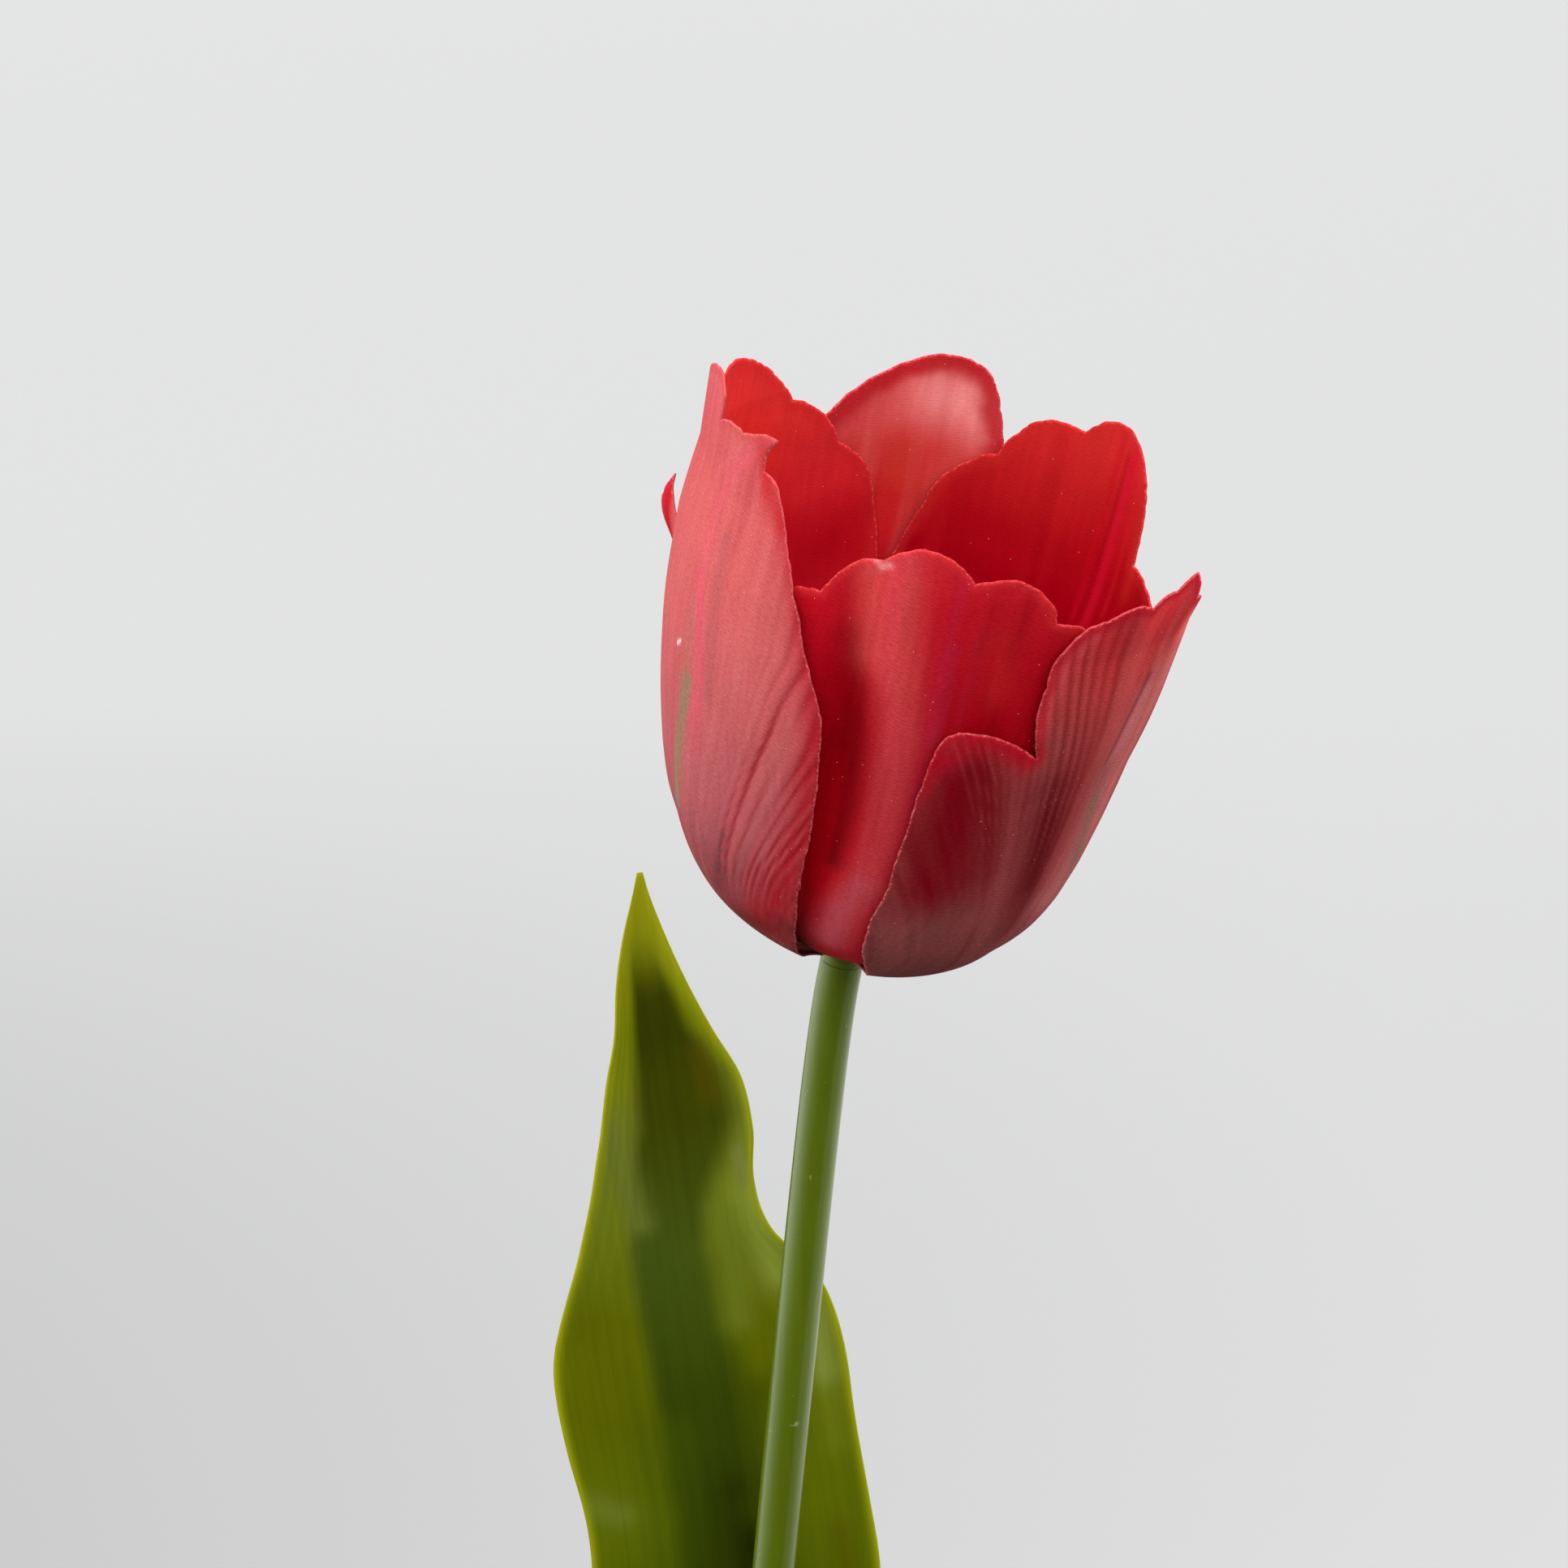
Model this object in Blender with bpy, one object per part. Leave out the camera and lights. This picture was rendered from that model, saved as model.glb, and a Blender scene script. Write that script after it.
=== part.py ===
"""An artificial tulip: six fabric petals on a moulded core, a wire-cored stem and one long leaf.

The origin is the centre of the stem's flat lower end. The stem rises along +Z and leans gently
to the right (+X) and forwards (-Y). The head nods further the same way. Units are metres.
"""

import math

import bmesh
import bpy
import numpy as np
from mathutils import Matrix, Vector
from mathutils.geometry import delaunay_2d_cdt

MM = 0.001

# Stem
STEM_LENGTH = 400 * MM
STEM_DIAMETER = 5.5 * MM
STEM_SWAY = 22.8 * MM  # how far the long bow carries the stem's top to the right of its foot
STEM_CROOK = 0.8 * MM  # and the short crook under the head
STEM_FORWARD = 8 * MM  # how far the top lies in front of the foot
SWAY_POWER = 1.9
CROOK_POWER = 60
FORWARD_POWER = 5.0
STEM_END_WALL = 4 * MM  # solid plastic below the wire's bore
WIRE_DIAMETER = 1.4 * MM
NECK_LENGTH = 38 * MM  # the top stretch, where the stem bends
NECK_PIVOT_SHARE = 0.55  # the bend's centre, as a share of the neck from its lower end

# Head
HEAD_LEAN = math.radians(10.9)  # to the right
HEAD_NOD = math.radians(14.2)  # forwards
PETAL_THICKNESS = 0.5 * MM
WHORL_STEP = 1.3 * MM  # from the middle of the outer petals to the middle of the inner ones
LAP_STEP = 1.0 * MM  # the one inner petal that laps inside its neighbour lies this much deeper
CLAW_RADIUS = 3.4 * MM  # where the outer petals start
CLAW_HEIGHT = 0.3 * MM
FLARE = 5 * MM  # how much wider than the left side the right side of the cup opens
FLARE_START = 25 * MM
FLARE_END = 80 * MM
FLARE_POWER = 1.5
FOOT_END = 30 * MM  # the cup's wall widens steadily up to here
FOLD_START = 6 * MM  # the petals' creases begin here, along the petal
FOLD_FULL = 26 * MM
SWELL = 1.3 * MM  # how far the lower right side of the cup bulges
SWELL_SPAN = (1 * MM, 10 * MM, 16 * MM, 30 * MM)
SWELL_AZIMUTH = math.radians(-22)

# Core of the head
CORE_COLLAR_HEIGHT = 1.15 * MM
CORE_WAIST_RADIUS = 1.6 * MM
CORE_BUTTON_RADIUS = 3.5 * MM
CORE_BUTTON_HEIGHT = 6.2 * MM
PISTIL_LENGTH = 19.5 * MM
PISTIL_RADIUS = 2.6 * MM
PISTIL_PEG_RADIUS = 1.0 * MM
PISTIL_PEG_DEPTH = 2.0 * MM
STAMENS = 6
STAMEN_LENGTH = 20.5 * MM
FILAMENT_RADIUS = 0.55 * MM
ANTHER_RADIUS = 1.15 * MM
ANTHER_LENGTH = 8 * MM

# Leaf
LEAF_HEIGHT = 180 * MM  # middle of its collar above the stem's foot
COLLAR_LENGTH = 14 * MM
COLLAR_WALL = 1.5 * MM
LEAF_THICKNESS = 0.9 * MM
LEAF_ROOT_RADIUS = 4.3 * MM  # how closely the foot of the blade wraps the stem

FIT_GAP = 0.3 * MM  # between pieces that touch
RUNNING_GAP = 0.4 * MM  # between the leaf's collar and the stem it turns on

# The bend of the cup's wall: degrees from the cup's axis, at millimetres along the petal
WALL_BEND = ((0, 62), (7, 70), (14, 56), (22, 37), (32, 16), (45, 11), (60, 1), (90, -3))
WALL_END = 95 * MM

# Each petal is cut flat: millimetres across from its middle, and along from its claw. "left" and
# "right" are the smooth edges as seen from outside with the claw down, "left" going up and
# "right" going down, both from "edge", or the right one from "right_edge". "lobes" run between
# the notches of the scalloped top, each with how far it bulges. "folds" are soft creases along
# the petal: across, half width and depth. "eased" is how far the wall is drawn in where it faces
# left, and where it faces right, at millimetres along. "curl" turns one edge outwards: across
# where it starts, and along to its middle, its half length and how far out the edge goes.
OUTER_EDGE = ((3, 0), (6.5, 6), (11.5, 12), (16.5, 18), (21, 25), (24.6, 34), (26.8, 43))
INNER_EDGE = ((3, 0), (5.5, 6), (9.5, 12), (14.5, 18), (19, 25), (22.8, 34), (24.6, 43))
UNEASED = (((0, 0),), ((0, 0),))
LAPPED_EASED = (
    ((35, 0), (50, 0.4), (66, 0.4), (75, 1.2), (85, 0.5)),
    ((26, 0), (38, 1), (46, 1.7), (66, 1.8), (74, 0.5)),
)
BACK_RIGHT_EASED = (((0, 0),), ((48, 0), (57, -0.9), (75, -1.1)))
PETALS = {
    "petal_outer_front_left": {
        "azimuth": -70,
        "layer": 0,
        "edge": OUTER_EDGE,
        "left": ((-27.4, 50), (-27.8, 56)),
        "lobes": ((-27.2, 62.5, -0.4), (-22, 58.6, 0.5), (-23.2, 66, 0.5), (-22.4, 74.5, 1.2),
                  (-13, 82.5, 2.2), (1.4, 85.4, 0.2), (1.4, 82.2, 0.7), (7.8, 83.2, 0.5),
                  (14.4, 85.2, -0.5), (13, 80.6, 0)),
        "right": ((16, 79.6), (20, 72), (24.5, 62), (27.2, 55.4), (27.7, 51)),
        "folds": ((-4, 5, 0.7), (12, 5, 0.4)),
        "eased": LAPPED_EASED,
        "curl": (-17, 57, 8.5, 4.4),
    },
    "petal_outer_front_right": {
        "azimuth": 56,
        "layer": 0,
        "edge": ((3, 0), (6.5, 6), (11.5, 12), (17, 18), (22, 25), (23.9, 34), (25.2, 43)),
        "right_edge": ((3, 0), (6.5, 6), (11.5, 12), (16.5, 18), (20.5, 25), (22.4, 34), (23, 43)),
        "left": ((-25.9, 50.6), (-25.4, 55)),
        "lobes": ((-23.7, 56.6, 1.0), (-12.9, 53.2, 0.9), (-14.6, 63.2, 0.6), (-13.1, 69.2, 0.7),
                  (-8.9, 71.8, 1.3), (-2.3, 72.6, 0.7), (2.0, 73.8, 0.2), (5, 75.6, 0.2),
                  (8, 71.2, 0.9), (14, 67, 1.4), (20.5, 61.5, 0)),
        "right": ((22, 56), (22.8, 50)),
        "folds": ((2, 4, 0.8), (-9, 4, 0.4)),
        "eased": LAPPED_EASED,
    },
    "petal_outer_back": {
        "azimuth": 185,
        "layer": 0,
        "edge": ((3, 0), (6, 6), (10.5, 12), (15.2, 18), (19.4, 25), (22.4, 34), (24.2, 43)),
        "left": ((-24.8, 51), (-23, 58)),
        "lobes": ((-20, 61.5, 1.0), (-10.8, 65.6, 0.3), (-8.9, 73.3, 0.4), (-6.6, 77.8, 1.1),
                  (1.9, 78.2, 0.6), (11.8, 70.1, 0.3), (17, 64.5, 1.0), (21.8, 58, 0)),
        "right": ((24, 52),),
        "folds": ((0, 6, 0.5),),
        "eased": UNEASED,
    },
    "petal_inner_front": {
        "azimuth": 1,
        "layer": 1,
        "edge": INNER_EDGE,
        "left": ((-25.2, 51), (-23.6, 60)),
        "lobes": ((-19, 67.4, 0.8), (-14, 69.5, 1.3), (-7.2, 75.6, 3.2), (3.9, 75.6, 3.0),
                  (14.9, 71.3, 0.6), (20, 69.4, 0)),
        "right": ((23.6, 60), (25.2, 51)),
        "folds": ((-9, 3.5, 1.6), (11, 4, 0.8)),
        "eased": LAPPED_EASED,
    },
    "petal_inner_back_right": {
        "azimuth": 148,
        "layer": 2,
        "edge": ((3, 0), (5.2, 6), (8.5, 12), (13, 18), (17.5, 25), (21, 34), (22.4, 43)),
        "left": ((-22, 52), (-19.5, 57.5)),
        "lobes": ((-17.3, 59.4, 0.4), (-12.2, 61.7, 0.8), (-8.7, 74.4, 3.1), (-0.5, 74.6, 2.6),
                  (9.7, 68.4, 1.8), (17.9, 59.2, 0)),
        "right": ((19.6, 54.4), (21.6, 49)),
        "folds": ((-1, 5, 0.6),),
        "eased": BACK_RIGHT_EASED,
    },
    "petal_inner_back_left": {
        "azimuth": -126,
        "layer": 1,
        "edge": ((3, 0), (5.5, 6), (9.2, 12), (14, 18), (18.6, 25), (22.4, 34), (24, 43)),
        "left": ((-23.8, 50), (-23.2, 56)),
        "lobes": ((-21.4, 62.6, 0.7), (-16, 67, 1.5), (-7.5, 73.2, 0.8), (2.2, 80, 1.0),
                  (12, 81.2, 1.4), (19.6, 75.5, 1.0), (23.4, 66, 0)),
        "right": ((24.6, 58), (24.6, 50)),
        "folds": ((0, 5, 0.6),),
        "eased": LAPPED_EASED,
    },
}
CUT_STEP = 2.6 * MM  # spacing of the points along a petal's cut edge
WEB_STEP = 4.4 * MM  # and of those inside it
WEB_CLEARANCE = 0.55  # how far the inner points stay from the edge, as a share of their spacing
ROW_RISE = math.sin(math.radians(60))  # from one row of an even triangular web to the next

# The leaf's midrib: millimetres right of the collar's middle, behind it and above its top
LEAF_MIDRIB = ((0, 4.3, 0.6), (1, 6, 38), (1.3, 9.5, 83), (-0.3, 13, 113), (-2.4, 15.2, 132),
               (-6.8, 20, 151.5), (-12.2, 27.5, 177), (-16.8, 33.5, 199), (-19.1, 38, 213.5))
# Its width to the left and to the right of the midrib, and the half angle of its channel
# (degrees), at shares of its length
LEAF_SECTIONS = ((0, 4.3, 4.3, 84), (0.06, 6, 6, 78), (0.2, 10.5, 10.5, 62), (0.4, 16.7, 16.5, 48),
                 (0.56, 18.5, 18.1, 43), (0.62, 18.5, 17.9, 40), (0.67, 19.7, 18, 37),
                 (0.71, 19.4, 17.4, 38), (0.75, 16.6, 15.2, 41), (0.78, 13.8, 10.6, 44),
                 (0.81, 11.3, 9.5, 47), (0.84, 9.2, 10.5, 50), (0.87, 7.6, 9.7, 48),
                 (0.9, 5.9, 7.2, 44), (0.93, 4.7, 4.8, 40), (0.96, 3, 2.6, 34),
                 (0.985, 1.3, 1, 27), (1, 0.35, 0.35, 20))
LEAF_ROWS = 52
LEAF_COLUMNS = 9

ROUND_SIDES = 12
SHARP_ANGLE = math.radians(40)
RING_STEP = 8 * MM


def clear_scene():
    for thing in list(bpy.data.objects):
        bpy.data.objects.remove(thing, do_unlink=True)


def material(name, colour, roughness, metallic=0.0):
    """A plain finish in the piece's own colour, linear red, green and blue."""
    made = bpy.data.materials.new(name)
    made.use_nodes = True
    shader = made.node_tree.nodes["Principled BSDF"]
    shader.inputs["Base Color"].default_value = (*colour, 1)
    shader.inputs["Roughness"].default_value = roughness
    shader.inputs["Metallic"].default_value = metallic
    made.diffuse_color = (*colour, 1)
    return made


def empty(name, matrix, parent=None):
    """A frame that pieces hang on. Its matrix is in the world."""
    made = bpy.data.objects.new(name, None)
    bpy.context.scene.collection.objects.link(made)
    made.parent = parent
    made.matrix_parent_inverse = parent.matrix_world.inverted() if parent else Matrix()
    made.matrix_world = matrix
    bpy.context.view_layer.update()
    return made


def add_piece(name, points, faces, finish, frame):
    """A closed mesh whose points are in the frame's own axes."""
    mesh = bpy.data.meshes.new(name)
    mesh.from_pydata([tuple(point) for point in points], [], faces)
    cleaner = bmesh.new()
    cleaner.from_mesh(mesh)
    bmesh.ops.recalc_face_normals(cleaner, faces=cleaner.faces)
    cleaner.to_mesh(mesh)
    cleaner.free()
    mesh.shade_smooth()
    mesh.set_sharp_from_angle(angle=SHARP_ANGLE)
    mesh.materials.append(finish)
    piece = bpy.data.objects.new(name, mesh)
    bpy.context.scene.collection.objects.link(piece)
    piece.parent = frame
    return piece


def smooth_curve(knots, count):
    """Points evenly spread in parameter on a Catmull-Rom curve through the knots."""
    knots = np.array(knots, float)
    ends = np.vstack([2 * knots[0] - knots[1], knots, 2 * knots[-1] - knots[-2]])
    places = np.linspace(0, len(knots) - 1, count)
    span = np.minimum(places.astype(int), len(knots) - 2)
    t = (places - span)[:, None]
    before, start, end, after = (ends[span + k] for k in range(4))
    return start + 0.5 * t * (
        end - before
        + t * (2 * before - 5 * start + 4 * end - after + t * (3 * (start - end) + after - before))
    )


def resample(points, step):
    """The same path with points a steady step apart, its two ends kept."""
    points = np.array(points, float)
    lengths = np.concatenate([[0], np.cumsum(np.linalg.norm(np.diff(points, axis=0), axis=1))])
    count = max(2, int(round(lengths[-1] / step)) + 1)
    places = np.linspace(0, lengths[-1], count)
    return np.stack([np.interp(places, lengths, column) for column in points.T], axis=1)


def stem_point(share):
    """The stem's centre line, share 0 at its foot and 1 under the head."""
    return Vector((
        STEM_SWAY * share**SWAY_POWER + STEM_CROOK * share**CROOK_POWER,
        -STEM_FORWARD * share**FORWARD_POWER,
        STEM_LENGTH * share,
    ))


def stem_direction(share):
    bow = SWAY_POWER * STEM_SWAY * share ** (SWAY_POWER - 1)
    crook = CROOK_POWER * STEM_CROOK * share ** (CROOK_POWER - 1)
    forward = FORWARD_POWER * STEM_FORWARD * share ** (FORWARD_POWER - 1)
    return Vector((bow + crook, -forward, STEM_LENGTH)).normalized()


def frame_at(place, rotation):
    return Matrix.Translation(place) @ rotation.to_4x4()


def turned_to(direction):
    """A rotation whose Z points along the direction, with the least turn."""
    return Vector((0, 0, 1)).rotation_difference(direction).to_matrix()


HEAD_TURN = Matrix.Rotation(HEAD_LEAN, 3, "Y") @ Matrix.Rotation(HEAD_NOD, 3, "X")
HEAD_BASE = stem_point(1)
NECK_START = 1 - NECK_LENGTH / STEM_LENGTH
NECK_PIVOT = stem_point(NECK_START + NECK_PIVOT_SHARE * (1 - NECK_START))
LEAF_PLACE = LEAF_HEIGHT / STEM_LENGTH
COLLAR_CENTRE = stem_point(LEAF_PLACE)
COLLAR_TURN = turned_to(stem_direction(LEAF_PLACE))


def ring(centre, normal, radius, sides=ROUND_SIDES):
    """A ring of points round the centre, square to the normal, starting towards +X."""
    normal = Vector(normal).normalized()
    first = (Vector((1, 0, 0)) - normal * normal.x).normalized()
    second = normal.cross(first)
    turns = (2 * math.pi * k / sides for k in range(sides))
    return [Vector(centre) + radius * (math.cos(a) * first + math.sin(a) * second) for a in turns]


def skin(rings, closed=False):
    """Quads between rings of points. Closed joins the last ring to the first, else both are capped."""
    count = len(rings[0])
    points = [point for one in rings for point in one]
    faces = []
    for k in range(len(rings) if closed else len(rings) - 1):
        here, there = k * count, (k + 1) % len(rings) * count
        for j in range(count):
            nxt = (j + 1) % count
            faces.append((here + j, here + nxt, there + nxt, there + j))
    if not closed:
        faces.append(tuple(range(count))[::-1])
        faces.append(tuple(range(len(points) - count, len(points))))
    return points, faces


def turned(profile, segments=24, lobes=0, lobe_depth=0.0):
    """A solid turned about Z from (radius, height) points, which start and end on the axis."""
    points = [Vector((0, 0, profile[0][1]))]
    for radius, height in profile[1:-1]:
        for k in range(segments):
            a = 2 * math.pi * k / segments
            r = radius * (1 + lobe_depth * math.cos(lobes * a))
            points.append(Vector((r * math.cos(a), r * math.sin(a), height)))
    points.append(Vector((0, 0, profile[-1][1])))
    faces = []
    for k in range(segments):
        nxt = (k + 1) % segments
        faces.append((0, 1 + k, 1 + nxt))
        for level in range(len(profile) - 3):
            low, high = 1 + level * segments, 1 + (level + 1) * segments
            faces.append((low + k, high + k, high + nxt, low + nxt))
        last = 1 + (len(profile) - 3) * segments
        faces.append((last + k, len(points) - 1, last + nxt))
    return points, faces


def stem_normal(share):
    """The stem's direction, which turns into the head's axis along the last part of the neck."""
    blend = max(0.0, (share - NECK_START) / (1 - NECK_START)) ** 3
    along = stem_direction(share).lerp(HEAD_TURN @ Vector((0, 0, 1)), blend)
    return along.normalized()


def stem_shares(start, end):
    count = max(3, int(round((end - start) * STEM_LENGTH / RING_STEP)) + 1)
    return [start + (end - start) * k / (count - 1) for k in range(count)]


def build_stem(frame, plastic, steel):
    bore = WIRE_DIAMETER / 2 + FIT_GAP
    outer = STEM_DIAMETER / 2
    end_wall = STEM_END_WALL / STEM_LENGTH
    seam = FIT_GAP / STEM_LENGTH
    top = 1 - (CORE_COLLAR_HEIGHT + FIT_GAP) / STEM_LENGTH
    sleeve = stem_shares(0, NECK_START - seam)
    rings = [ring(stem_point(t), stem_normal(t), outer) for t in sleeve]
    inside = stem_shares(end_wall, NECK_START - seam)
    rings += [ring(stem_point(t), stem_normal(t), bore) for t in reversed(inside)]
    points, faces = skin(rings)
    add_piece("stem_sleeve", points, faces, plastic, frame)
    neck = stem_shares(NECK_START, top)
    rings = [ring(stem_point(t), stem_normal(t), outer) for t in neck]
    rings += [ring(stem_point(t), stem_normal(t), bore) for t in reversed(neck)]
    points, faces = skin(rings, closed=True)
    add_piece("stem_neck", points, faces, plastic, frame)
    wire = stem_shares(end_wall + seam, 1)
    rings = [ring(stem_point(t), stem_normal(t), WIRE_DIAMETER / 2, 8) for t in wire]
    points, faces = skin(rings)
    add_piece("stem_wire", points, faces, steel, frame)


def wall_table():
    """Radius, height and bend of the cup's wall, a step at a time along the petal."""
    along = np.linspace(0, WALL_END, 381)
    stations, degrees = zip(*WALL_BEND)
    bend = np.radians(np.interp(along, np.array(stations) * MM, degrees))
    middle = (bend[1:] + bend[:-1]) / 2
    step = along[1] - along[0]
    radius = CLAW_RADIUS + np.concatenate([[0], np.cumsum(np.sin(middle) * step)])
    height = CLAW_HEIGHT + np.concatenate([[0], np.cumsum(np.cos(middle) * step)])
    return along, radius, height, bend


WALL = wall_table()
TURN_RADIUS_LEAST = 6 * MM  # a claw is flatter than the tight circle it stands on


def swell(along, azimuth):
    """How far the cup bulges outwards, low on its right side."""
    start, full, fade, end = SWELL_SPAN
    rise = np.clip((along - start) / (full - start), 0, 1)
    fall = np.clip((end - along) / (end - fade), 0, 1)
    share = np.minimum(rise, fall)
    return SWELL * share**2 * (3 - 2 * share) * 0.5 * (1 + np.sin(azimuth - SWELL_AZIMUTH))


def wall_point(petal, across, along):
    """A point on the middle of the petal's cloth. Front is -Y, and azimuth turns from it to +X."""
    steps, radii, heights, bends = WALL
    radius = np.interp(along, steps, radii)
    azimuth = math.radians(petal["azimuth"]) + across / np.maximum(radius, TURN_RADIUS_LEAST)
    bend = np.interp(along, steps, bends)
    depth = (0, WHORL_STEP, WHORL_STEP + LAP_STEP)[petal["layer"]] - swell(along, azimuth)
    open_share = np.clip((along - FLARE_START) / (FLARE_END - FLARE_START), 0, None)
    flare = FLARE * open_share**FLARE_POWER * 0.5 * (1 + np.sin(azimuth))
    for facing, eased in zip((-1, 1), petal["eased"]):
        stations, amounts = np.array(eased).T * MM
        side_share = (0.5 + 0.5 * facing * np.sin(azimuth)) ** 2
        depth = depth + np.interp(along, stations, amounts) * side_share
    if "curl" in petal:
        edge, middle, half_length, out = petal["curl"]
        past = np.clip((across / MM - edge) / edge, 0, None) * 2
        depth = depth - out * MM * past**2 * np.exp(-(((along / MM - middle) / half_length) ** 2))
    fade_in = np.clip((along - FOLD_START) / (FOLD_FULL - FOLD_START), 0, 1)
    for middle, width, fold in petal["folds"]:
        depth = depth + fold * MM * fade_in * np.exp(-(((across / MM - middle) / width) ** 2))
    reach = radius - depth * np.cos(bend) + flare
    height = np.interp(along, steps, heights) + depth * np.sin(bend)
    return np.stack([reach * np.sin(azimuth), -reach * np.cos(azimuth), height], axis=-1)


def wall_normal(petal, across, along):
    """The outward direction there, from two short steps over the cloth."""
    step = 0.2 * MM
    over = wall_point(petal, across + step, along) - wall_point(petal, across - step, along)
    up = wall_point(petal, across, along + step) - wall_point(petal, across, along - step)
    normal = np.cross(over, up)
    return normal / np.linalg.norm(normal, axis=-1, keepdims=True)


def lobe_edge(start, end, bulge):
    """A rounded lobe from one notch to the next, bulging to the left of its direction."""
    start, end = np.array(start, float), np.array(end, float)
    chord = end - start
    side = np.array([-chord[1], chord[0]]) / np.linalg.norm(chord)
    t = np.linspace(0, 1, 13)[:, None]
    return start + chord * t + side * bulge * np.sin(math.pi * t) ** 0.75


def cut_outline(petal):
    """The petal's flat outline, once round from its claw, in metres."""
    lobes = petal["lobes"]
    left = [(-x, s) for x, s in petal["edge"]] + list(petal["left"]) + [lobes[0][:2]]
    right = [lobes[-1][:2]] + list(petal["right"])
    right += petal.get("right_edge", petal["edge"])[::-1]
    runs = [smooth_curve(left, 120)]
    runs += [lobe_edge(a[:2], b[:2], a[2]) for a, b in zip(lobes, lobes[1:])]
    runs.append(smooth_curve(right, 120))
    outline = []
    for run in runs:
        outline.extend(resample(run * MM, CUT_STEP)[:-1])
    outline.append(runs[-1][-1] * MM)
    return np.array(outline)


def inside_points(outline):
    """Points of an even triangular web that lie well inside the outline."""
    low, high = outline.min(axis=0), outline.max(axis=0)
    found = []
    rows = int((high[1] - low[1]) / (WEB_STEP * ROW_RISE)) + 1
    clearance = WEB_CLEARANCE * WEB_STEP
    for row in range(rows):
        y = low[1] + WEB_STEP * 0.5 + row * WEB_STEP * ROW_RISE
        x = low[0] + WEB_STEP * (0.25 + 0.5 * (row % 2))
        while x < high[0]:
            if inside(outline, x, y) and np.hypot(*(outline - (x, y)).T).min() > clearance:
                found.append((x, y))
            x += WEB_STEP
    return found


def inside(outline, x, y):
    a, b = outline, np.roll(outline, -1, axis=0)
    crosses = (a[:, 1] > y) != (b[:, 1] > y)
    rise = np.where(crosses, b[:, 1] - a[:, 1], 1)
    hits = x < a[:, 0] + (y - a[:, 1]) / rise * (b[:, 0] - a[:, 0])
    return bool((crosses & hits).sum() % 2)


def build_petal(name, petal, finish, frame):
    outline = cut_outline(petal)
    web = inside_points(outline)
    flat = [Vector(p) for p in outline] + [Vector(p) for p in web]
    loop = list(range(len(outline)))
    flat, edges, faces, *_ = delaunay_2d_cdt(flat, [], [loop], 1, 1e-7)
    flat = np.array([tuple(p) for p in flat])
    across, along = flat[:, 0], flat[:, 1]
    middle = wall_point(petal, across, along)
    outward = wall_normal(petal, across, along) * PETAL_THICKNESS / 2
    count = len(flat)
    points = np.vstack([middle + outward, middle - outward])
    shell = [tuple(face) for face in faces]
    shell += [tuple(k + count for k in face)[::-1] for face in faces]
    sides = {(face[k - 1], face[k]) for face in faces for k in range(len(face))}
    rim = [(b, a, a + count, b + count) for a, b in sorted(sides) if (b, a) not in sides]
    return add_piece(name, points, shell + rim, finish, frame)


def wall_height_at(radius, depth):
    """Height of the cup's wall at a radius near its foot, on the layer this deep."""
    stations, radii, heights, bends = WALL
    foot = stations < FOOT_END
    reach = radii[foot] - depth * np.cos(bends[foot])
    return float(np.interp(radius, reach, heights[foot] + depth * np.sin(bends[foot])))


def core_profile():
    """The moulded core: collar on the stem, cone through the claws, button over them."""
    collar = STEM_DIAMETER / 2
    bore = WIRE_DIAMETER / 2 + FIT_GAP
    socket = PISTIL_PEG_RADIUS + FIT_GAP
    half = PETAL_THICKNESS / 2 + FIT_GAP
    deepest = WHORL_STEP + LAP_STEP
    bend = math.radians(WALL_BEND[0][1])
    claw_radius = CLAW_RADIUS - deepest * math.cos(bend) - half
    claw_height = CLAW_HEIGHT + deepest * math.sin(bend)
    cone = min(CORE_WAIST_RADIUS + 0.2 * MM, claw_radius)
    underside = wall_height_at(CORE_BUTTON_RADIUS, deepest) + half + FIT_GAP
    top = CORE_BUTTON_HEIGHT
    peg_floor = top - PISTIL_PEG_DEPTH - FIT_GAP
    return (
        (0, CLAW_HEIGHT + FIT_GAP),
        (bore, CLAW_HEIGHT + FIT_GAP),
        (bore, -CORE_COLLAR_HEIGHT),
        (collar, -CORE_COLLAR_HEIGHT),
        (collar, -half),
        (collar - 0.2 * MM, 0),
        (cone, claw_height),
        (CORE_WAIST_RADIUS, claw_height + 0.5 * MM),
        (CORE_BUTTON_RADIUS - 0.2 * MM, underside),
        (CORE_BUTTON_RADIUS, (underside + top) / 2),
        (CORE_BUTTON_RADIUS - 0.5 * MM, top - 0.35 * MM),
        (socket + 0.5 * MM, top),
        (socket, top),
        (socket, peg_floor),
        (0, peg_floor),
    )


def pistil_profile():
    foot = CORE_BUTTON_HEIGHT - PISTIL_PEG_DEPTH
    seat = CORE_BUTTON_HEIGHT + FIT_GAP
    body = PISTIL_RADIUS
    rise = PISTIL_LENGTH
    return (
        (0, foot),
        (PISTIL_PEG_RADIUS, foot),
        (PISTIL_PEG_RADIUS, seat),
        (body * 0.8, seat + rise * 0.02),
        (body, seat + rise * 0.2),
        (body * 0.96, seat + rise * 0.52),
        (body * 0.78, seat + rise * 0.82),
        (body * 1.15, seat + rise * 0.88),
        (body * 1.25, seat + rise * 0.94),
        (body * 0.85, seat + rise * 0.985),
        (0, seat + rise),
    )


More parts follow.
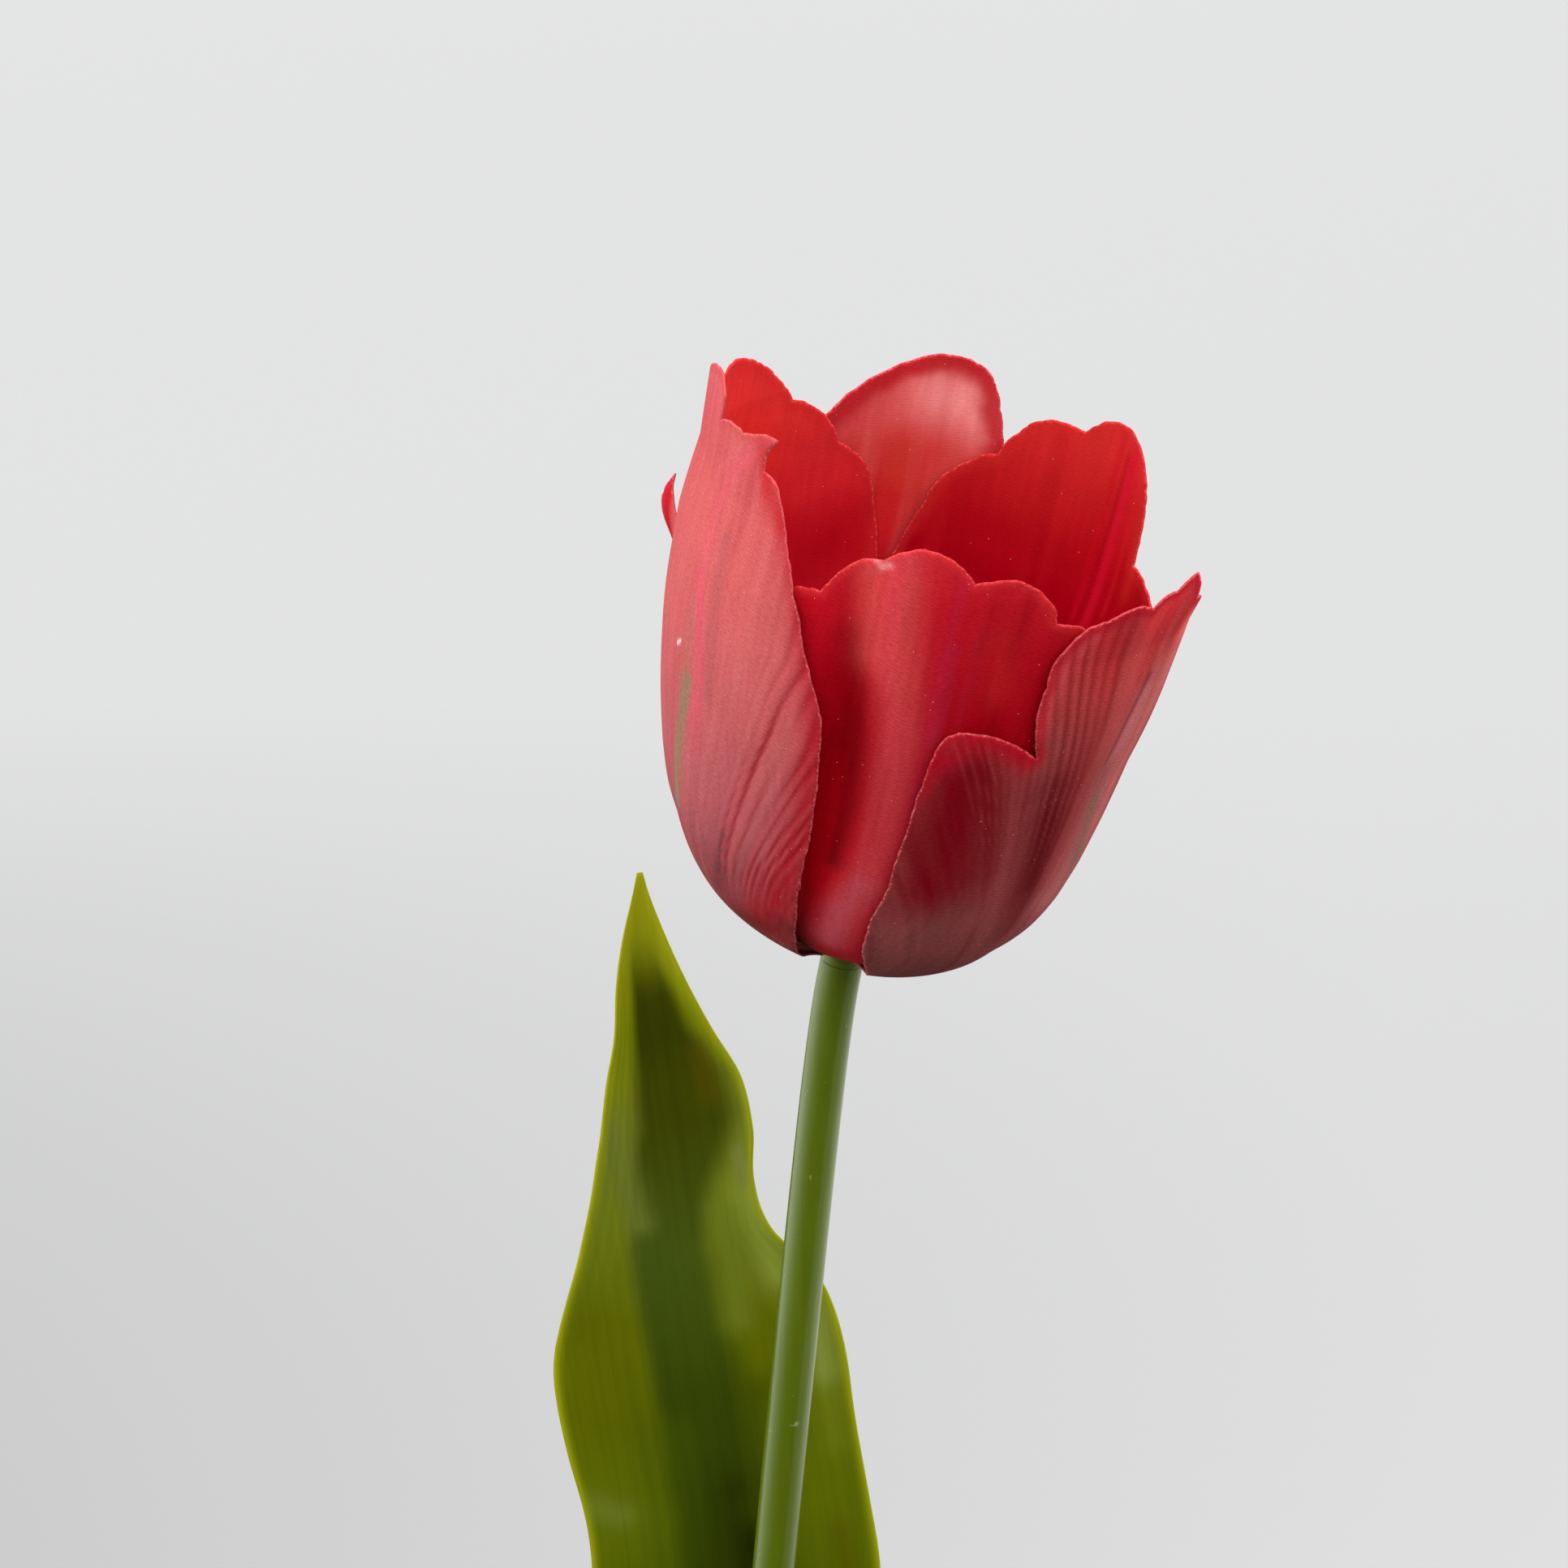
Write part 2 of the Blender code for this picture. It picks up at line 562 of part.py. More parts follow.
def build_stamen(number, finish, frame):
    """A thin filament that leans out past the pistil and ends in a long anther."""
    turn = 2 * math.pi * (number - 0.5) / STAMENS
    foot_radius = CORE_BUTTON_RADIUS - 0.6 * MM
    foot = CORE_BUTTON_HEIGHT - 0.3 * MM + FIT_GAP
    spread = PISTIL_RADIUS * 1.25 + ANTHER_RADIUS + 1.4 * MM
    path = smooth_curve(
        (
            (foot_radius, foot),
            (foot_radius + 0.45 * (spread - foot_radius), foot + 0.16 * STAMEN_LENGTH),
            (spread - 0.3 * MM, foot + 0.5 * STAMEN_LENGTH),
            (spread + 0.5 * MM, foot + STAMEN_LENGTH),
        ),
        14,
    )
    lengths = np.concatenate([[0], np.cumsum(np.linalg.norm(np.diff(path, axis=0), axis=1))])
    outward = Vector((math.sin(turn), -math.cos(turn), 0))
    rings = []
    for k, (reach, height) in enumerate(path):
        ahead = path[min(k + 1, len(path) - 1)] - path[max(k - 1, 0)]
        into = (lengths[k] - (lengths[-1] - ANTHER_LENGTH)) / ANTHER_LENGTH
        radius = FILAMENT_RADIUS
        if into > 0:
            radius += (ANTHER_RADIUS - FILAMENT_RADIUS) * math.sin(math.pi * into) ** 0.6
        normal = outward * ahead[0] + Vector((0, 0, ahead[1]))
        rings.append(ring(outward * reach + Vector((0, 0, height)), normal, radius, 8))
    points, faces = skin(rings)
    add_piece(f"stamen_{number}", points, faces, finish, frame)


def build_collar(frame, finish):
    """The short tube at the leaf's foot. It slips over the stem and turns on it."""
    bore = STEM_DIAMETER / 2 + RUNNING_GAP
    outer = bore + COLLAR_WALL
    half = COLLAR_LENGTH / 2
    up = (0, 0, 1)
    levels = (
        (outer - 0.5 * MM, -half),
        (outer, -half + 0.8 * MM),
        (outer, half - 0.4 * MM),
        (outer - 0.2 * MM, half),
        (bore, half),
        (bore, -half),
    )
    rings = [ring((0, 0, height), up, radius, 24) for radius, height in levels]
    points, faces = skin(rings, closed=True)
    add_piece("leaf_collar", points, faces, finish, frame)


def leaf_section(share):
    shares, lefts, rights, angles = smooth_curve(LEAF_SECTIONS, 340).T
    left = float(np.interp(share, shares, lefts)) * MM
    right = float(np.interp(share, shares, rights)) * MM
    return left, right, math.radians(np.interp(share, shares, angles))


def leaf_origin():
    """Middle of the collar's top face."""
    return COLLAR_CENTRE + COLLAR_TURN @ Vector((0, 0, COLLAR_LENGTH / 2))


def build_leaf(frame, finish):
    """A long channelled blade. Its foot wraps the back of the stem, just above the collar."""
    knots = [np.array(knot) * MM for knot in LEAF_MIDRIB]
    knots[0][1] = LEAF_ROOT_RADIUS
    rib = resample(smooth_curve(knots, 200), 1 * MM)
    places = np.linspace(0, 1, LEAF_ROWS) ** 0.92
    index = places * (len(rib) - 1)
    rows = []
    for share, at in zip(places, index):
        low = min(int(at), len(rib) - 2)
        centre = Vector(rib[low] + (rib[low + 1] - rib[low]) * (at - low))
        along = Vector(rib[min(low + 4, len(rib) - 1)] - rib[max(low - 4, 0)]).normalized()
        across = (Vector((1, 0, 0)) - along * along.x).normalized()
        inwards = across.cross(along)
        if inwards.y > 0:
            inwards.negate()
        if share == 0:
            across, inwards = Vector((1, 0, 0)), Vector((0, -1, 0))
        left, right, angle = leaf_section(share)
        if share == 0:
            left = right = LEAF_ROOT_RADIUS * math.sin(angle)
        thin = LEAF_THICKNESS / 2 * min(1, 0.35 + (left + right) / (12 * MM))
        front, back = [], []
        for k in range(LEAF_COLUMNS):
            a = angle * (2 * k / (LEAF_COLUMNS - 1) - 1)
            bow = (left if a < 0 else right) / math.sin(angle)
            edge = thin * (1 - 0.45 * abs(a / angle) ** 2)
            for side, sign in ((front, -1), (back, 1)):
                r = bow + sign * edge
                side.append(centre + across * r * math.sin(a) + inwards * (bow - r * math.cos(a)))
        rows.append(front + back[::-1])
    points, faces = skin(rows)
    add_piece("leaf_blade", points, faces, finish, frame)


def main():
    clear_scene()
    outer_cloth = material("petal_cloth_outer", (0.46, 0.11, 0.11), 0.75)
    inner_cloth = material("petal_cloth_inner", (0.36, 0.012, 0.02), 0.7)
    green = material("stem_plastic", (0.16, 0.2, 0.04), 0.5)
    leaf_green = material("leaf_plastic", (0.1, 0.13, 0.01), 0.45)
    core_plastic = material("core_plastic", (0.1, 0.06, 0.03), 0.6)
    pistil_plastic = material("pistil_plastic", (0.45, 0.5, 0.12), 0.55)
    stamen_plastic = material("stamen_plastic", (0.03, 0.02, 0.02), 0.6)
    steel = material("steel_wire", (0.45, 0.45, 0.45), 0.35, 1.0)

    root = empty("stem_frame", Matrix())
    build_stem(root, green, steel)

    bend_frame = empty("neck_bend_axis", Matrix.Translation(NECK_PIVOT), root)
    head_frame = empty("head_frame", frame_at(HEAD_BASE, HEAD_TURN), bend_frame)
    for name, petal in PETALS.items():
        cloth = outer_cloth if petal["layer"] == 0 else inner_cloth
        build_petal(name, petal, cloth, head_frame)
    points, faces = turned(core_profile())
    add_piece("receptacle", points, faces, core_plastic, head_frame)
    points, faces = turned(pistil_profile(), segments=18, lobes=3, lobe_depth=0.12)
    add_piece("pistil", points, faces, pistil_plastic, head_frame)
    for number in range(1, STAMENS + 1):
        build_stamen(number, stamen_plastic, head_frame)

    collar_frame = empty("leaf_swivel_axis", frame_at(COLLAR_CENTRE, COLLAR_TURN), root)
    build_collar(collar_frame, leaf_green)
    blade_frame = empty("leaf_spread_axis", frame_at(leaf_origin(), COLLAR_TURN), collar_frame)
    build_leaf(blade_frame, leaf_green)


main()
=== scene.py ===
"""Looks of an artificial tulip: cloth petals, a moulded stem and one long moulded leaf.

The detailed pieces are built round the CAD frame, in its own axes and in metres.
"""

import math

import bpy
import numpy as np
from mathutils import Matrix, Vector
from mathutils.geometry import delaunay_2d_cdt


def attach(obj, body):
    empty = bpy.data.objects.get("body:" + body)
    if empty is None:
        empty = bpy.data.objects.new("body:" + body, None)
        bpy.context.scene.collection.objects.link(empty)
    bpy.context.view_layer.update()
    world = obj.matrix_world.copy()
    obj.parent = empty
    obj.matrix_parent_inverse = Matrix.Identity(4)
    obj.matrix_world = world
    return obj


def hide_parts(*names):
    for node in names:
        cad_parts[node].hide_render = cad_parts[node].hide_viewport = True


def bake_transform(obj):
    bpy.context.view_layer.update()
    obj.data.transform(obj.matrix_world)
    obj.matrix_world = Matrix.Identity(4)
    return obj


MM = 0.001

# Stem
STEM_LENGTH = 400 * MM
STEM_DIAMETER = 5.5 * MM
STEM_SWAY = 22.8 * MM  # how far the long bow carries the stem's top to the right of its foot
STEM_CROOK = 0.8 * MM  # and the short crook under the head
STEM_FORWARD = 8 * MM  # how far the top lies in front of the foot
SWAY_POWER = 1.9
CROOK_POWER = 60
FORWARD_POWER = 5.0
STEM_END_WALL = 4 * MM  # solid plastic below the wire's bore
WIRE_DIAMETER = 1.4 * MM
NECK_LENGTH = 38 * MM  # the top stretch, where the stem bends

# Head
HEAD_LEAN = math.radians(10.9)  # to the right
HEAD_NOD = math.radians(14.2)  # forwards
PETAL_THICKNESS = 0.5 * MM
WHORL_STEP = 1.3 * MM  # from the middle of the outer petals to the middle of the inner ones
LAP_STEP = 1.0 * MM  # the one inner petal that laps inside its neighbour lies this much deeper
CLAW_RADIUS = 3.4 * MM  # where the outer petals start
CLAW_HEIGHT = 0.3 * MM
TURN_RADIUS_LEAST = 6 * MM  # a claw is flatter than the tight circle it stands on
FLARE = 5 * MM  # how much wider than the left side the right side of the cup opens
FLARE_START = 25 * MM
FLARE_END = 80 * MM
FLARE_POWER = 1.5
FOOT_END = 30 * MM  # the cup's wall widens steadily up to here
FOLD_START = 6 * MM  # the petals' creases begin here, along the petal
FOLD_FULL = 26 * MM
SWELL = 1.3 * MM  # how far the lower right side of the cup bulges
SWELL_SPAN = (1 * MM, 10 * MM, 16 * MM, 30 * MM)
SWELL_AZIMUTH = math.radians(-22)

# Core of the head
CORE_COLLAR_HEIGHT = 1.15 * MM
CORE_WAIST_RADIUS = 1.6 * MM
CORE_BUTTON_RADIUS = 3.5 * MM
CORE_BUTTON_HEIGHT = 6.2 * MM
PISTIL_LENGTH = 19.5 * MM
PISTIL_RADIUS = 2.6 * MM
STIGMA_SHARE = 1.25  # its lobed top, as a share of that radius
PISTIL_PEG_RADIUS = 1.0 * MM
PISTIL_PEG_DEPTH = 2.0 * MM
STAMENS = 6
STAMEN_LENGTH = 20.5 * MM
FILAMENT_RADIUS = 0.55 * MM
ANTHER_RADIUS = 1.15 * MM
ANTHER_LENGTH = 8 * MM

# Leaf
LEAF_HEIGHT = 180 * MM  # middle of its collar above the stem's foot
COLLAR_LENGTH = 14 * MM
COLLAR_WALL = 1.5 * MM
LEAF_THICKNESS = 0.9 * MM
LEAF_ROOT_RADIUS = 4.3 * MM  # how closely the foot of the blade wraps the stem

FIT_GAP = 0.3 * MM  # between pieces that touch
RUNNING_GAP = 0.4 * MM  # between the leaf's collar and the stem it turns on

# The bend of the cup's wall: degrees from the cup's axis, at millimetres along the petal
WALL_BEND = ((0, 62), (7, 70), (14, 56), (22, 37), (32, 16), (45, 11), (60, 1), (90, -3))
WALL_END = 95 * MM

# Each petal is cut flat: millimetres across from its middle, and along from its claw. "left" and
# "right" are the smooth edges as seen from outside with the claw down, "left" going up and
# "right" going down, both from "edge", or the right one from "right_edge". "lobes" run between
# the notches of the scalloped top, each with how far it bulges. "folds" are soft creases along
# the petal: across, half width and depth. "eased" is how far the wall is drawn in where it faces
# left, and where it faces right, at millimetres along. "curl" turns one edge outwards: across
# where it starts, and along to its middle, its half length and how far out the edge goes. "ribs"
# are the cloth's: their period and height, where along the petal they start and reach it, and,
# if they don't run all over it, where across it they grow from faint to full and fade again.
# "fan_left" and "fan_right" are how wide apart they run, at millimetres along.
OUTER_EDGE = ((3, 0), (6.5, 6), (11.5, 12), (16.5, 18), (21, 25), (24.6, 34), (26.8, 43))
INNER_EDGE = ((3, 0), (5.5, 6), (9.5, 12), (14.5, 18), (19, 25), (22.8, 34), (24.6, 43))
UNEASED = (((0, 0),), ((0, 0),))
LAPPED_EASED = (
    ((35, 0), (50, 0.4), (66, 0.4), (75, 1.2), (85, 0.5)),
    ((26, 0), (38, 1), (46, 1.7), (66, 1.8), (74, 0.5)),
)
BACK_RIGHT_EASED = (((0, 0),), ((48, 0), (57, -0.9), (75, -1.1)))
WHOLE_REACH = (-40, -30, 80, 90)  # of ribs all over
PLAIN_FAN = ((10, 0.5), (30, 0.8), (50, 1), (80, 1))
PETALS = {
    "petal_outer_front_left": {
        "azimuth": -70,
        "layer": 0,
        "edge": OUTER_EDGE,
        "left": ((-27.4, 50), (-27.8, 56)),
        "lobes": ((-27.2, 62.5, -0.4), (-22, 58.6, 0.5), (-23.2, 66, 0.5), (-22.4, 74.5, 1.2),
                  (-13, 82.5, 2.2), (1.4, 85.4, 0.2), (1.4, 82.2, 0.7), (7.8, 83.2, 0.5),
                  (14.4, 85.2, -0.5), (13, 80.6, 0)),
        "right": ((16, 79.6), (20, 72), (24.5, 62), (27.2, 55.4), (27.7, 51)),
        "folds": ((-4, 5, 0.7), (12, 5, 0.4)),
        "eased": LAPPED_EASED,
        "curl": (-17, 59, 8.4, 4.7),
        "ribs": (2.1, 0.09, 12, 24, 14, 21, 80, 90),
        "fan_right": ((10, 0.28), (20, 0.4), (30, 0.6), (40, 0.83), (50, 1.05), (60, 1.2),
                      (84, 1.2)),
    },
    "petal_outer_front_right": {
        "azimuth": 56,
        "layer": 0,
        "edge": ((3, 0), (6.5, 6), (11.5, 12), (17, 18), (22, 25), (23.9, 34), (25.2, 43)),
        "right_edge": ((3, 0), (6.5, 6), (11.5, 12), (16.5, 18), (20.5, 25), (22.4, 34), (23, 43)),
        "left": ((-25.9, 50.6), (-25.4, 55)),
        "lobes": ((-23.7, 56.6, 1.0), (-12.9, 53.2, 0.9), (-14.6, 63.2, 0.6), (-13.1, 69.2, 0.7),
                  (-8.9, 71.8, 1.3), (-2.3, 72.6, 0.7), (2.0, 73.8, 0.2), (5, 75.6, 0.2),
                  (8, 71.2, 0.9), (14, 67, 1.4), (20.5, 61.5, 0)),
        "right": ((22, 56), (22.8, 50)),
        "folds": ((2, 4, 0.8), (-9, 4, 0.4)),
        "eased": LAPPED_EASED,
        "ribs": (1.35, 0.055, 18, 40, -27, -19, -9, 0),
        "fan_left": ((12, 0.3), (20, 0.38), (30, 0.55), (40, 0.76), (50, 1), (60, 1.28),
                     (74, 1.6)),
    },
    "petal_outer_back": {
        "azimuth": 185,
        "layer": 0,
        "edge": ((3, 0), (6, 6), (10.5, 12), (15.2, 18), (19.4, 25), (22.4, 34), (24.2, 43)),
        "left": ((-24.8, 51), (-23, 58)),
        "lobes": ((-20, 61.5, 1.0), (-10.8, 65.6, 0.3), (-8.9, 73.3, 0.4), (-6.6, 77.8, 1.1),
                  (1.9, 78.2, 0.6), (11.8, 70.1, 0.3), (17, 64.5, 1.0), (21.8, 58, 0)),
        "right": ((24, 52),),
        "folds": ((0, 6, 0.5),),
        "eased": UNEASED,
        "ribs": (2.3, 0.04, 20, 50),
    },
    "petal_inner_front": {
        "azimuth": 1,
        "layer": 1,
        "edge": INNER_EDGE,
        "left": ((-25.2, 51), (-23.6, 60)),
        "lobes": ((-19, 67.4, 0.8), (-14, 69.5, 1.3), (-7.2, 75.6, 3.2), (3.9, 75.6, 3.0),
                  (14.9, 71.3, 0.6), (20, 69.4, 0)),
        "right": ((23.6, 60), (25.2, 51)),
        "folds": ((-9, 3.5, 1.6), (11, 4, 0.8)),
        "eased": LAPPED_EASED,
        "ribs": (1.9, 0.05, 22, 46),
    },
    "petal_inner_back_right": {
        "azimuth": 148,
        "layer": 2,
        "edge": ((3, 0), (5.2, 6), (8.5, 12), (13, 18), (17.5, 25), (21, 34), (22.4, 43)),
        "left": ((-22, 52), (-19.5, 57.5)),
        "lobes": ((-17.3, 59.4, 0.4), (-12.2, 61.7, 0.8), (-8.7, 74.4, 3.1), (-0.5, 74.6, 2.6),
                  (9.7, 68.4, 1.8), (17.9, 59.2, 0)),
        "right": ((19.6, 54.4), (21.6, 49)),
        "folds": ((-1, 5, 0.6),),
        "eased": BACK_RIGHT_EASED,
        "ribs": (1.7, 0.05, 26, 52),
    },
    "petal_inner_back_left": {
        "azimuth": -126,
        "layer": 1,
        "edge": ((3, 0), (5.5, 6), (9.2, 12), (14, 18), (18.6, 25), (22.4, 34), (24, 43)),
        "left": ((-23.8, 50), (-23.2, 56)),
        "lobes": ((-21.4, 62.6, 0.7), (-16, 67, 1.5), (-7.5, 73.2, 0.8), (2.2, 80, 1.0),
                  (12, 81.2, 1.4), (19.6, 75.5, 1.0), (23.4, 66, 0)),
        "right": ((24.6, 58), (24.6, 50)),
        "folds": ((0, 5, 0.6),),
        "eased": LAPPED_EASED,
        "ribs": (2.4, 0.03, 24, 52),
    },
}

# The leaf's midrib: millimetres right of the collar's middle, behind it and above its top
LEAF_MIDRIB = ((0, 4.3, 0.6), (1, 6, 38), (1.3, 9.5, 83), (-0.3, 13, 113), (-2.4, 15.2, 132),
               (-6.8, 20, 151.5), (-12.2, 27.5, 177), (-16.8, 33.5, 199), (-19.1, 38, 213.5))
# Its width to the left and to the right of the midrib, and the half angle of its channel
# (degrees), at shares of its length
LEAF_SECTIONS = ((0, 4.3, 4.3, 84), (0.06, 6, 6, 78), (0.2, 10.5, 10.5, 62), (0.4, 16.7, 16.5, 48),
                 (0.56, 18.5, 18.1, 43), (0.62, 18.5, 17.9, 40), (0.67, 19.7, 18, 37),
                 (0.71, 19.4, 17.4, 38), (0.75, 16.6, 15.2, 41), (0.78, 13.8, 10.6, 44),
                 (0.81, 11.3, 9.5, 47), (0.84, 9.2, 10.5, 50), (0.87, 7.6, 9.7, 48),
                 (0.9, 5.9, 7.2, 44), (0.93, 4.7, 4.8, 40), (0.96, 3, 2.6, 34),
                 (0.985, 1.3, 1, 27), (1, 0.35, 0.35, 20))


# Curves, and the lines of the stem and the cup


def smooth(low, high, value):
    """0 below low, 1 above high, and an even rise between them."""
    share = np.clip((value - low) / (high - low), 0, 1)
    return share * share * (3 - 2 * share)


def hump(value, width):
    """1 where the value is 0, fading evenly to nothing at about twice the width."""
    return np.exp(-((value / width) ** 2))


def smooth_curve(knots, count):
    """Points evenly spread in parameter on a Catmull-Rom curve through the knots."""
    knots = np.array(knots, float)
    ends = np.vstack([2 * knots[0] - knots[1], knots, 2 * knots[-1] - knots[-2]])
    places = np.linspace(0, len(knots) - 1, count)
    span = np.minimum(places.astype(int), len(knots) - 2)
    t = (places - span)[:, None]
    before, start, end, after = (ends[span + k] for k in range(4))
    return start + 0.5 * t * (
        end - before
        + t * (2 * before - 5 * start + 4 * end - after + t * (3 * (start - end) + after - before))
    )


def path_lengths(points):
    """How far along the path each of its points lies."""
    return np.concatenate([[0], np.cumsum(np.linalg.norm(np.diff(points, axis=0), axis=1))])


def resample(points, step):
    """The same path with points a steady step apart, its two ends kept."""
    points = np.array(points, float)
    lengths = path_lengths(points)
    count = max(2, int(round(lengths[-1] / step)) + 1)
    places = np.linspace(0, lengths[-1], count)
    return np.stack([np.interp(places, lengths, column) for column in points.T], axis=1)


def stem_point(share):
    """The stem's centre line, share 0 at its foot and 1 under the head."""
    return Vector((
        STEM_SWAY * share**SWAY_POWER + STEM_CROOK * share**CROOK_POWER,
        -STEM_FORWARD * share**FORWARD_POWER,
        STEM_LENGTH * share,
    ))


def stem_direction(share):
    """Which way the centre line runs there."""
    bow = SWAY_POWER * STEM_SWAY * share ** (SWAY_POWER - 1)
    crook = CROOK_POWER * STEM_CROOK * share ** (CROOK_POWER - 1)
    forward = FORWARD_POWER * STEM_FORWARD * share ** (FORWARD_POWER - 1)
    return Vector((bow + crook, -forward, STEM_LENGTH)).normalized()


def turned_to(direction):
    """A rotation whose Z points along the direction, with the least turn."""
    return Vector((0, 0, 1)).rotation_difference(direction).to_matrix()


HEAD_TURN = Matrix.Rotation(HEAD_LEAN, 3, "Y") @ Matrix.Rotation(HEAD_NOD, 3, "X")
HEAD_BASE = stem_point(1)
NECK_START = 1 - NECK_LENGTH / STEM_LENGTH
LEAF_PLACE = LEAF_HEIGHT / STEM_LENGTH
COLLAR_CENTRE = stem_point(LEAF_PLACE)
COLLAR_TURN = turned_to(stem_direction(LEAF_PLACE))


def wall_table():
    """Radius, height and bend of the cup's wall, a step at a time along the petal."""
    along = np.linspace(0, WALL_END, 381)
    stations, degrees = zip(*WALL_BEND)
    bend = np.radians(np.interp(along, np.array(stations) * MM, degrees))
    middle = (bend[1:] + bend[:-1]) / 2
    step = along[1] - along[0]
    radius = CLAW_RADIUS + np.concatenate([[0], np.cumsum(np.sin(middle) * step)])
    height = CLAW_HEIGHT + np.concatenate([[0], np.cumsum(np.cos(middle) * step)])
    return along, radius, height, bend


WALL = wall_table()


def swell(along, azimuth):
    """How far the cup bulges outwards, low on its right side."""
    start, full, fade, end = SWELL_SPAN
    share = np.minimum(smooth(start, full, along), smooth(end, fade, along))
    return SWELL * share * 0.5 * (1 + np.sin(azimuth - SWELL_AZIMUTH))


def wall_point(petal, across, along):
    """A point on the middle of the petal's cloth. Front is -Y, and azimuth turns from it to +X."""
    steps, radii, heights, bends = WALL
    radius = np.interp(along, steps, radii)
    azimuth = math.radians(petal["azimuth"]) + across / np.maximum(radius, TURN_RADIUS_LEAST)
    bend = np.interp(along, steps, bends)
    depth = (0, WHORL_STEP, WHORL_STEP + LAP_STEP)[petal["layer"]] - swell(along, azimuth)
    open_share = np.clip((along - FLARE_START) / (FLARE_END - FLARE_START), 0, None)
    flare = FLARE * open_share**FLARE_POWER * 0.5 * (1 + np.sin(azimuth))
    for facing, eased in zip((-1, 1), petal["eased"]):
        stations, amounts = np.array(eased).T * MM
        side_share = (0.5 + 0.5 * facing * np.sin(azimuth)) ** 2
        depth = depth + np.interp(along, stations, amounts) * side_share
    if "curl" in petal:
        edge, middle, half_length, out = petal["curl"]
        past = np.clip((across / MM - edge) / edge, 0, None) * 2
        depth = depth - out * MM * past**2 * hump(along / MM - middle, half_length)
    fade_in = np.clip((along - FOLD_START) / (FOLD_FULL - FOLD_START), 0, 1)
    for middle, width, fold in petal["folds"]:
        depth = depth + fold * MM * fade_in * hump(across / MM - middle, width)
    reach = radius - depth * np.cos(bend) + flare
    height = np.interp(along, steps, heights) + depth * np.sin(bend)
    return np.stack([reach * np.sin(azimuth), -reach * np.cos(azimuth), height], axis=-1)


def wall_normal(petal, across, along):
    """The outward direction there, from two short steps over the cloth."""
    step = 0.2 * MM
    over = wall_point(petal, across + step, along) - wall_point(petal, across - step, along)
    up = wall_point(petal, across, along + step) - wall_point(petal, across, along - step)
    normal = np.cross(over, up)
    return normal / np.linalg.norm(normal, axis=-1, keepdims=True)


def wall_height_at(radius, depth):
    """Height of the cup's wall at a radius near its foot, on the layer this deep."""
    stations, radii, heights, bends = WALL
    foot = stations < FOOT_END
    reach = radii[foot] - depth * np.cos(bends[foot])
    return float(np.interp(radius, reach, heights[foot] + depth * np.sin(bends[foot])))


def core_profile():
    """The moulded core: collar on the stem, cone through the claws, button over them."""
    collar = STEM_DIAMETER / 2
    bore = WIRE_DIAMETER / 2 + FIT_GAP
    socket = PISTIL_PEG_RADIUS + FIT_GAP
    half = PETAL_THICKNESS / 2 + FIT_GAP
    deepest = WHORL_STEP + LAP_STEP
    bend = math.radians(WALL_BEND[0][1])
    claw_radius = CLAW_RADIUS - deepest * math.cos(bend) - half
    claw_height = CLAW_HEIGHT + deepest * math.sin(bend)
    cone = min(CORE_WAIST_RADIUS + 0.2 * MM, claw_radius)
    underside = wall_height_at(CORE_BUTTON_RADIUS, deepest) + half + FIT_GAP
    top = CORE_BUTTON_HEIGHT
    peg_floor = top - PISTIL_PEG_DEPTH - FIT_GAP
    return (
        (0, CLAW_HEIGHT + FIT_GAP),
        (bore, CLAW_HEIGHT + FIT_GAP),
        (bore, -CORE_COLLAR_HEIGHT),
        (collar, -CORE_COLLAR_HEIGHT),
        (collar, -half),
        (collar - 0.2 * MM, 0),
        (cone, claw_height),
        (CORE_WAIST_RADIUS, claw_height + 0.5 * MM),
        (CORE_BUTTON_RADIUS - 0.2 * MM, underside),
        (CORE_BUTTON_RADIUS, (underside + top) / 2),
        (CORE_BUTTON_RADIUS - 0.5 * MM, top - 0.35 * MM),
        (socket + 0.5 * MM, top),
        (socket, top),
        (socket, peg_floor),
        (0, peg_floor),
    )


def pistil_profile():
    """The pistil: peg in the core's socket, ovary, neck and wide stigma."""
    foot = CORE_BUTTON_HEIGHT - PISTIL_PEG_DEPTH
    seat = CORE_BUTTON_HEIGHT + FIT_GAP
    body = PISTIL_RADIUS
    rise = PISTIL_LENGTH
    return (
        (0, foot),
        (PISTIL_PEG_RADIUS, foot),
        (PISTIL_PEG_RADIUS, seat),
        (body * 0.8, seat + rise * 0.02),
        (body, seat + rise * 0.2),
        (body * 0.96, seat + rise * 0.52),
        (body * 0.78, seat + rise * 0.82),
        (body * 1.15, seat + rise * 0.88),
        (body * STIGMA_SHARE, seat + rise * 0.94),
        (body * 0.85, seat + rise * 0.985),
        (0, seat + rise),
    )


def lobe_edge(start, end, bulge):
    """A rounded lobe from one notch to the next, bulging to the left of its direction."""
    start, end = np.array(start, float), np.array(end, float)
    chord = end - start
    side = np.array([-chord[1], chord[0]]) / np.linalg.norm(chord)
    t = np.linspace(0, 1, 13)[:, None]
    return start + chord * t + side * bulge * np.sin(math.pi * t) ** 0.75


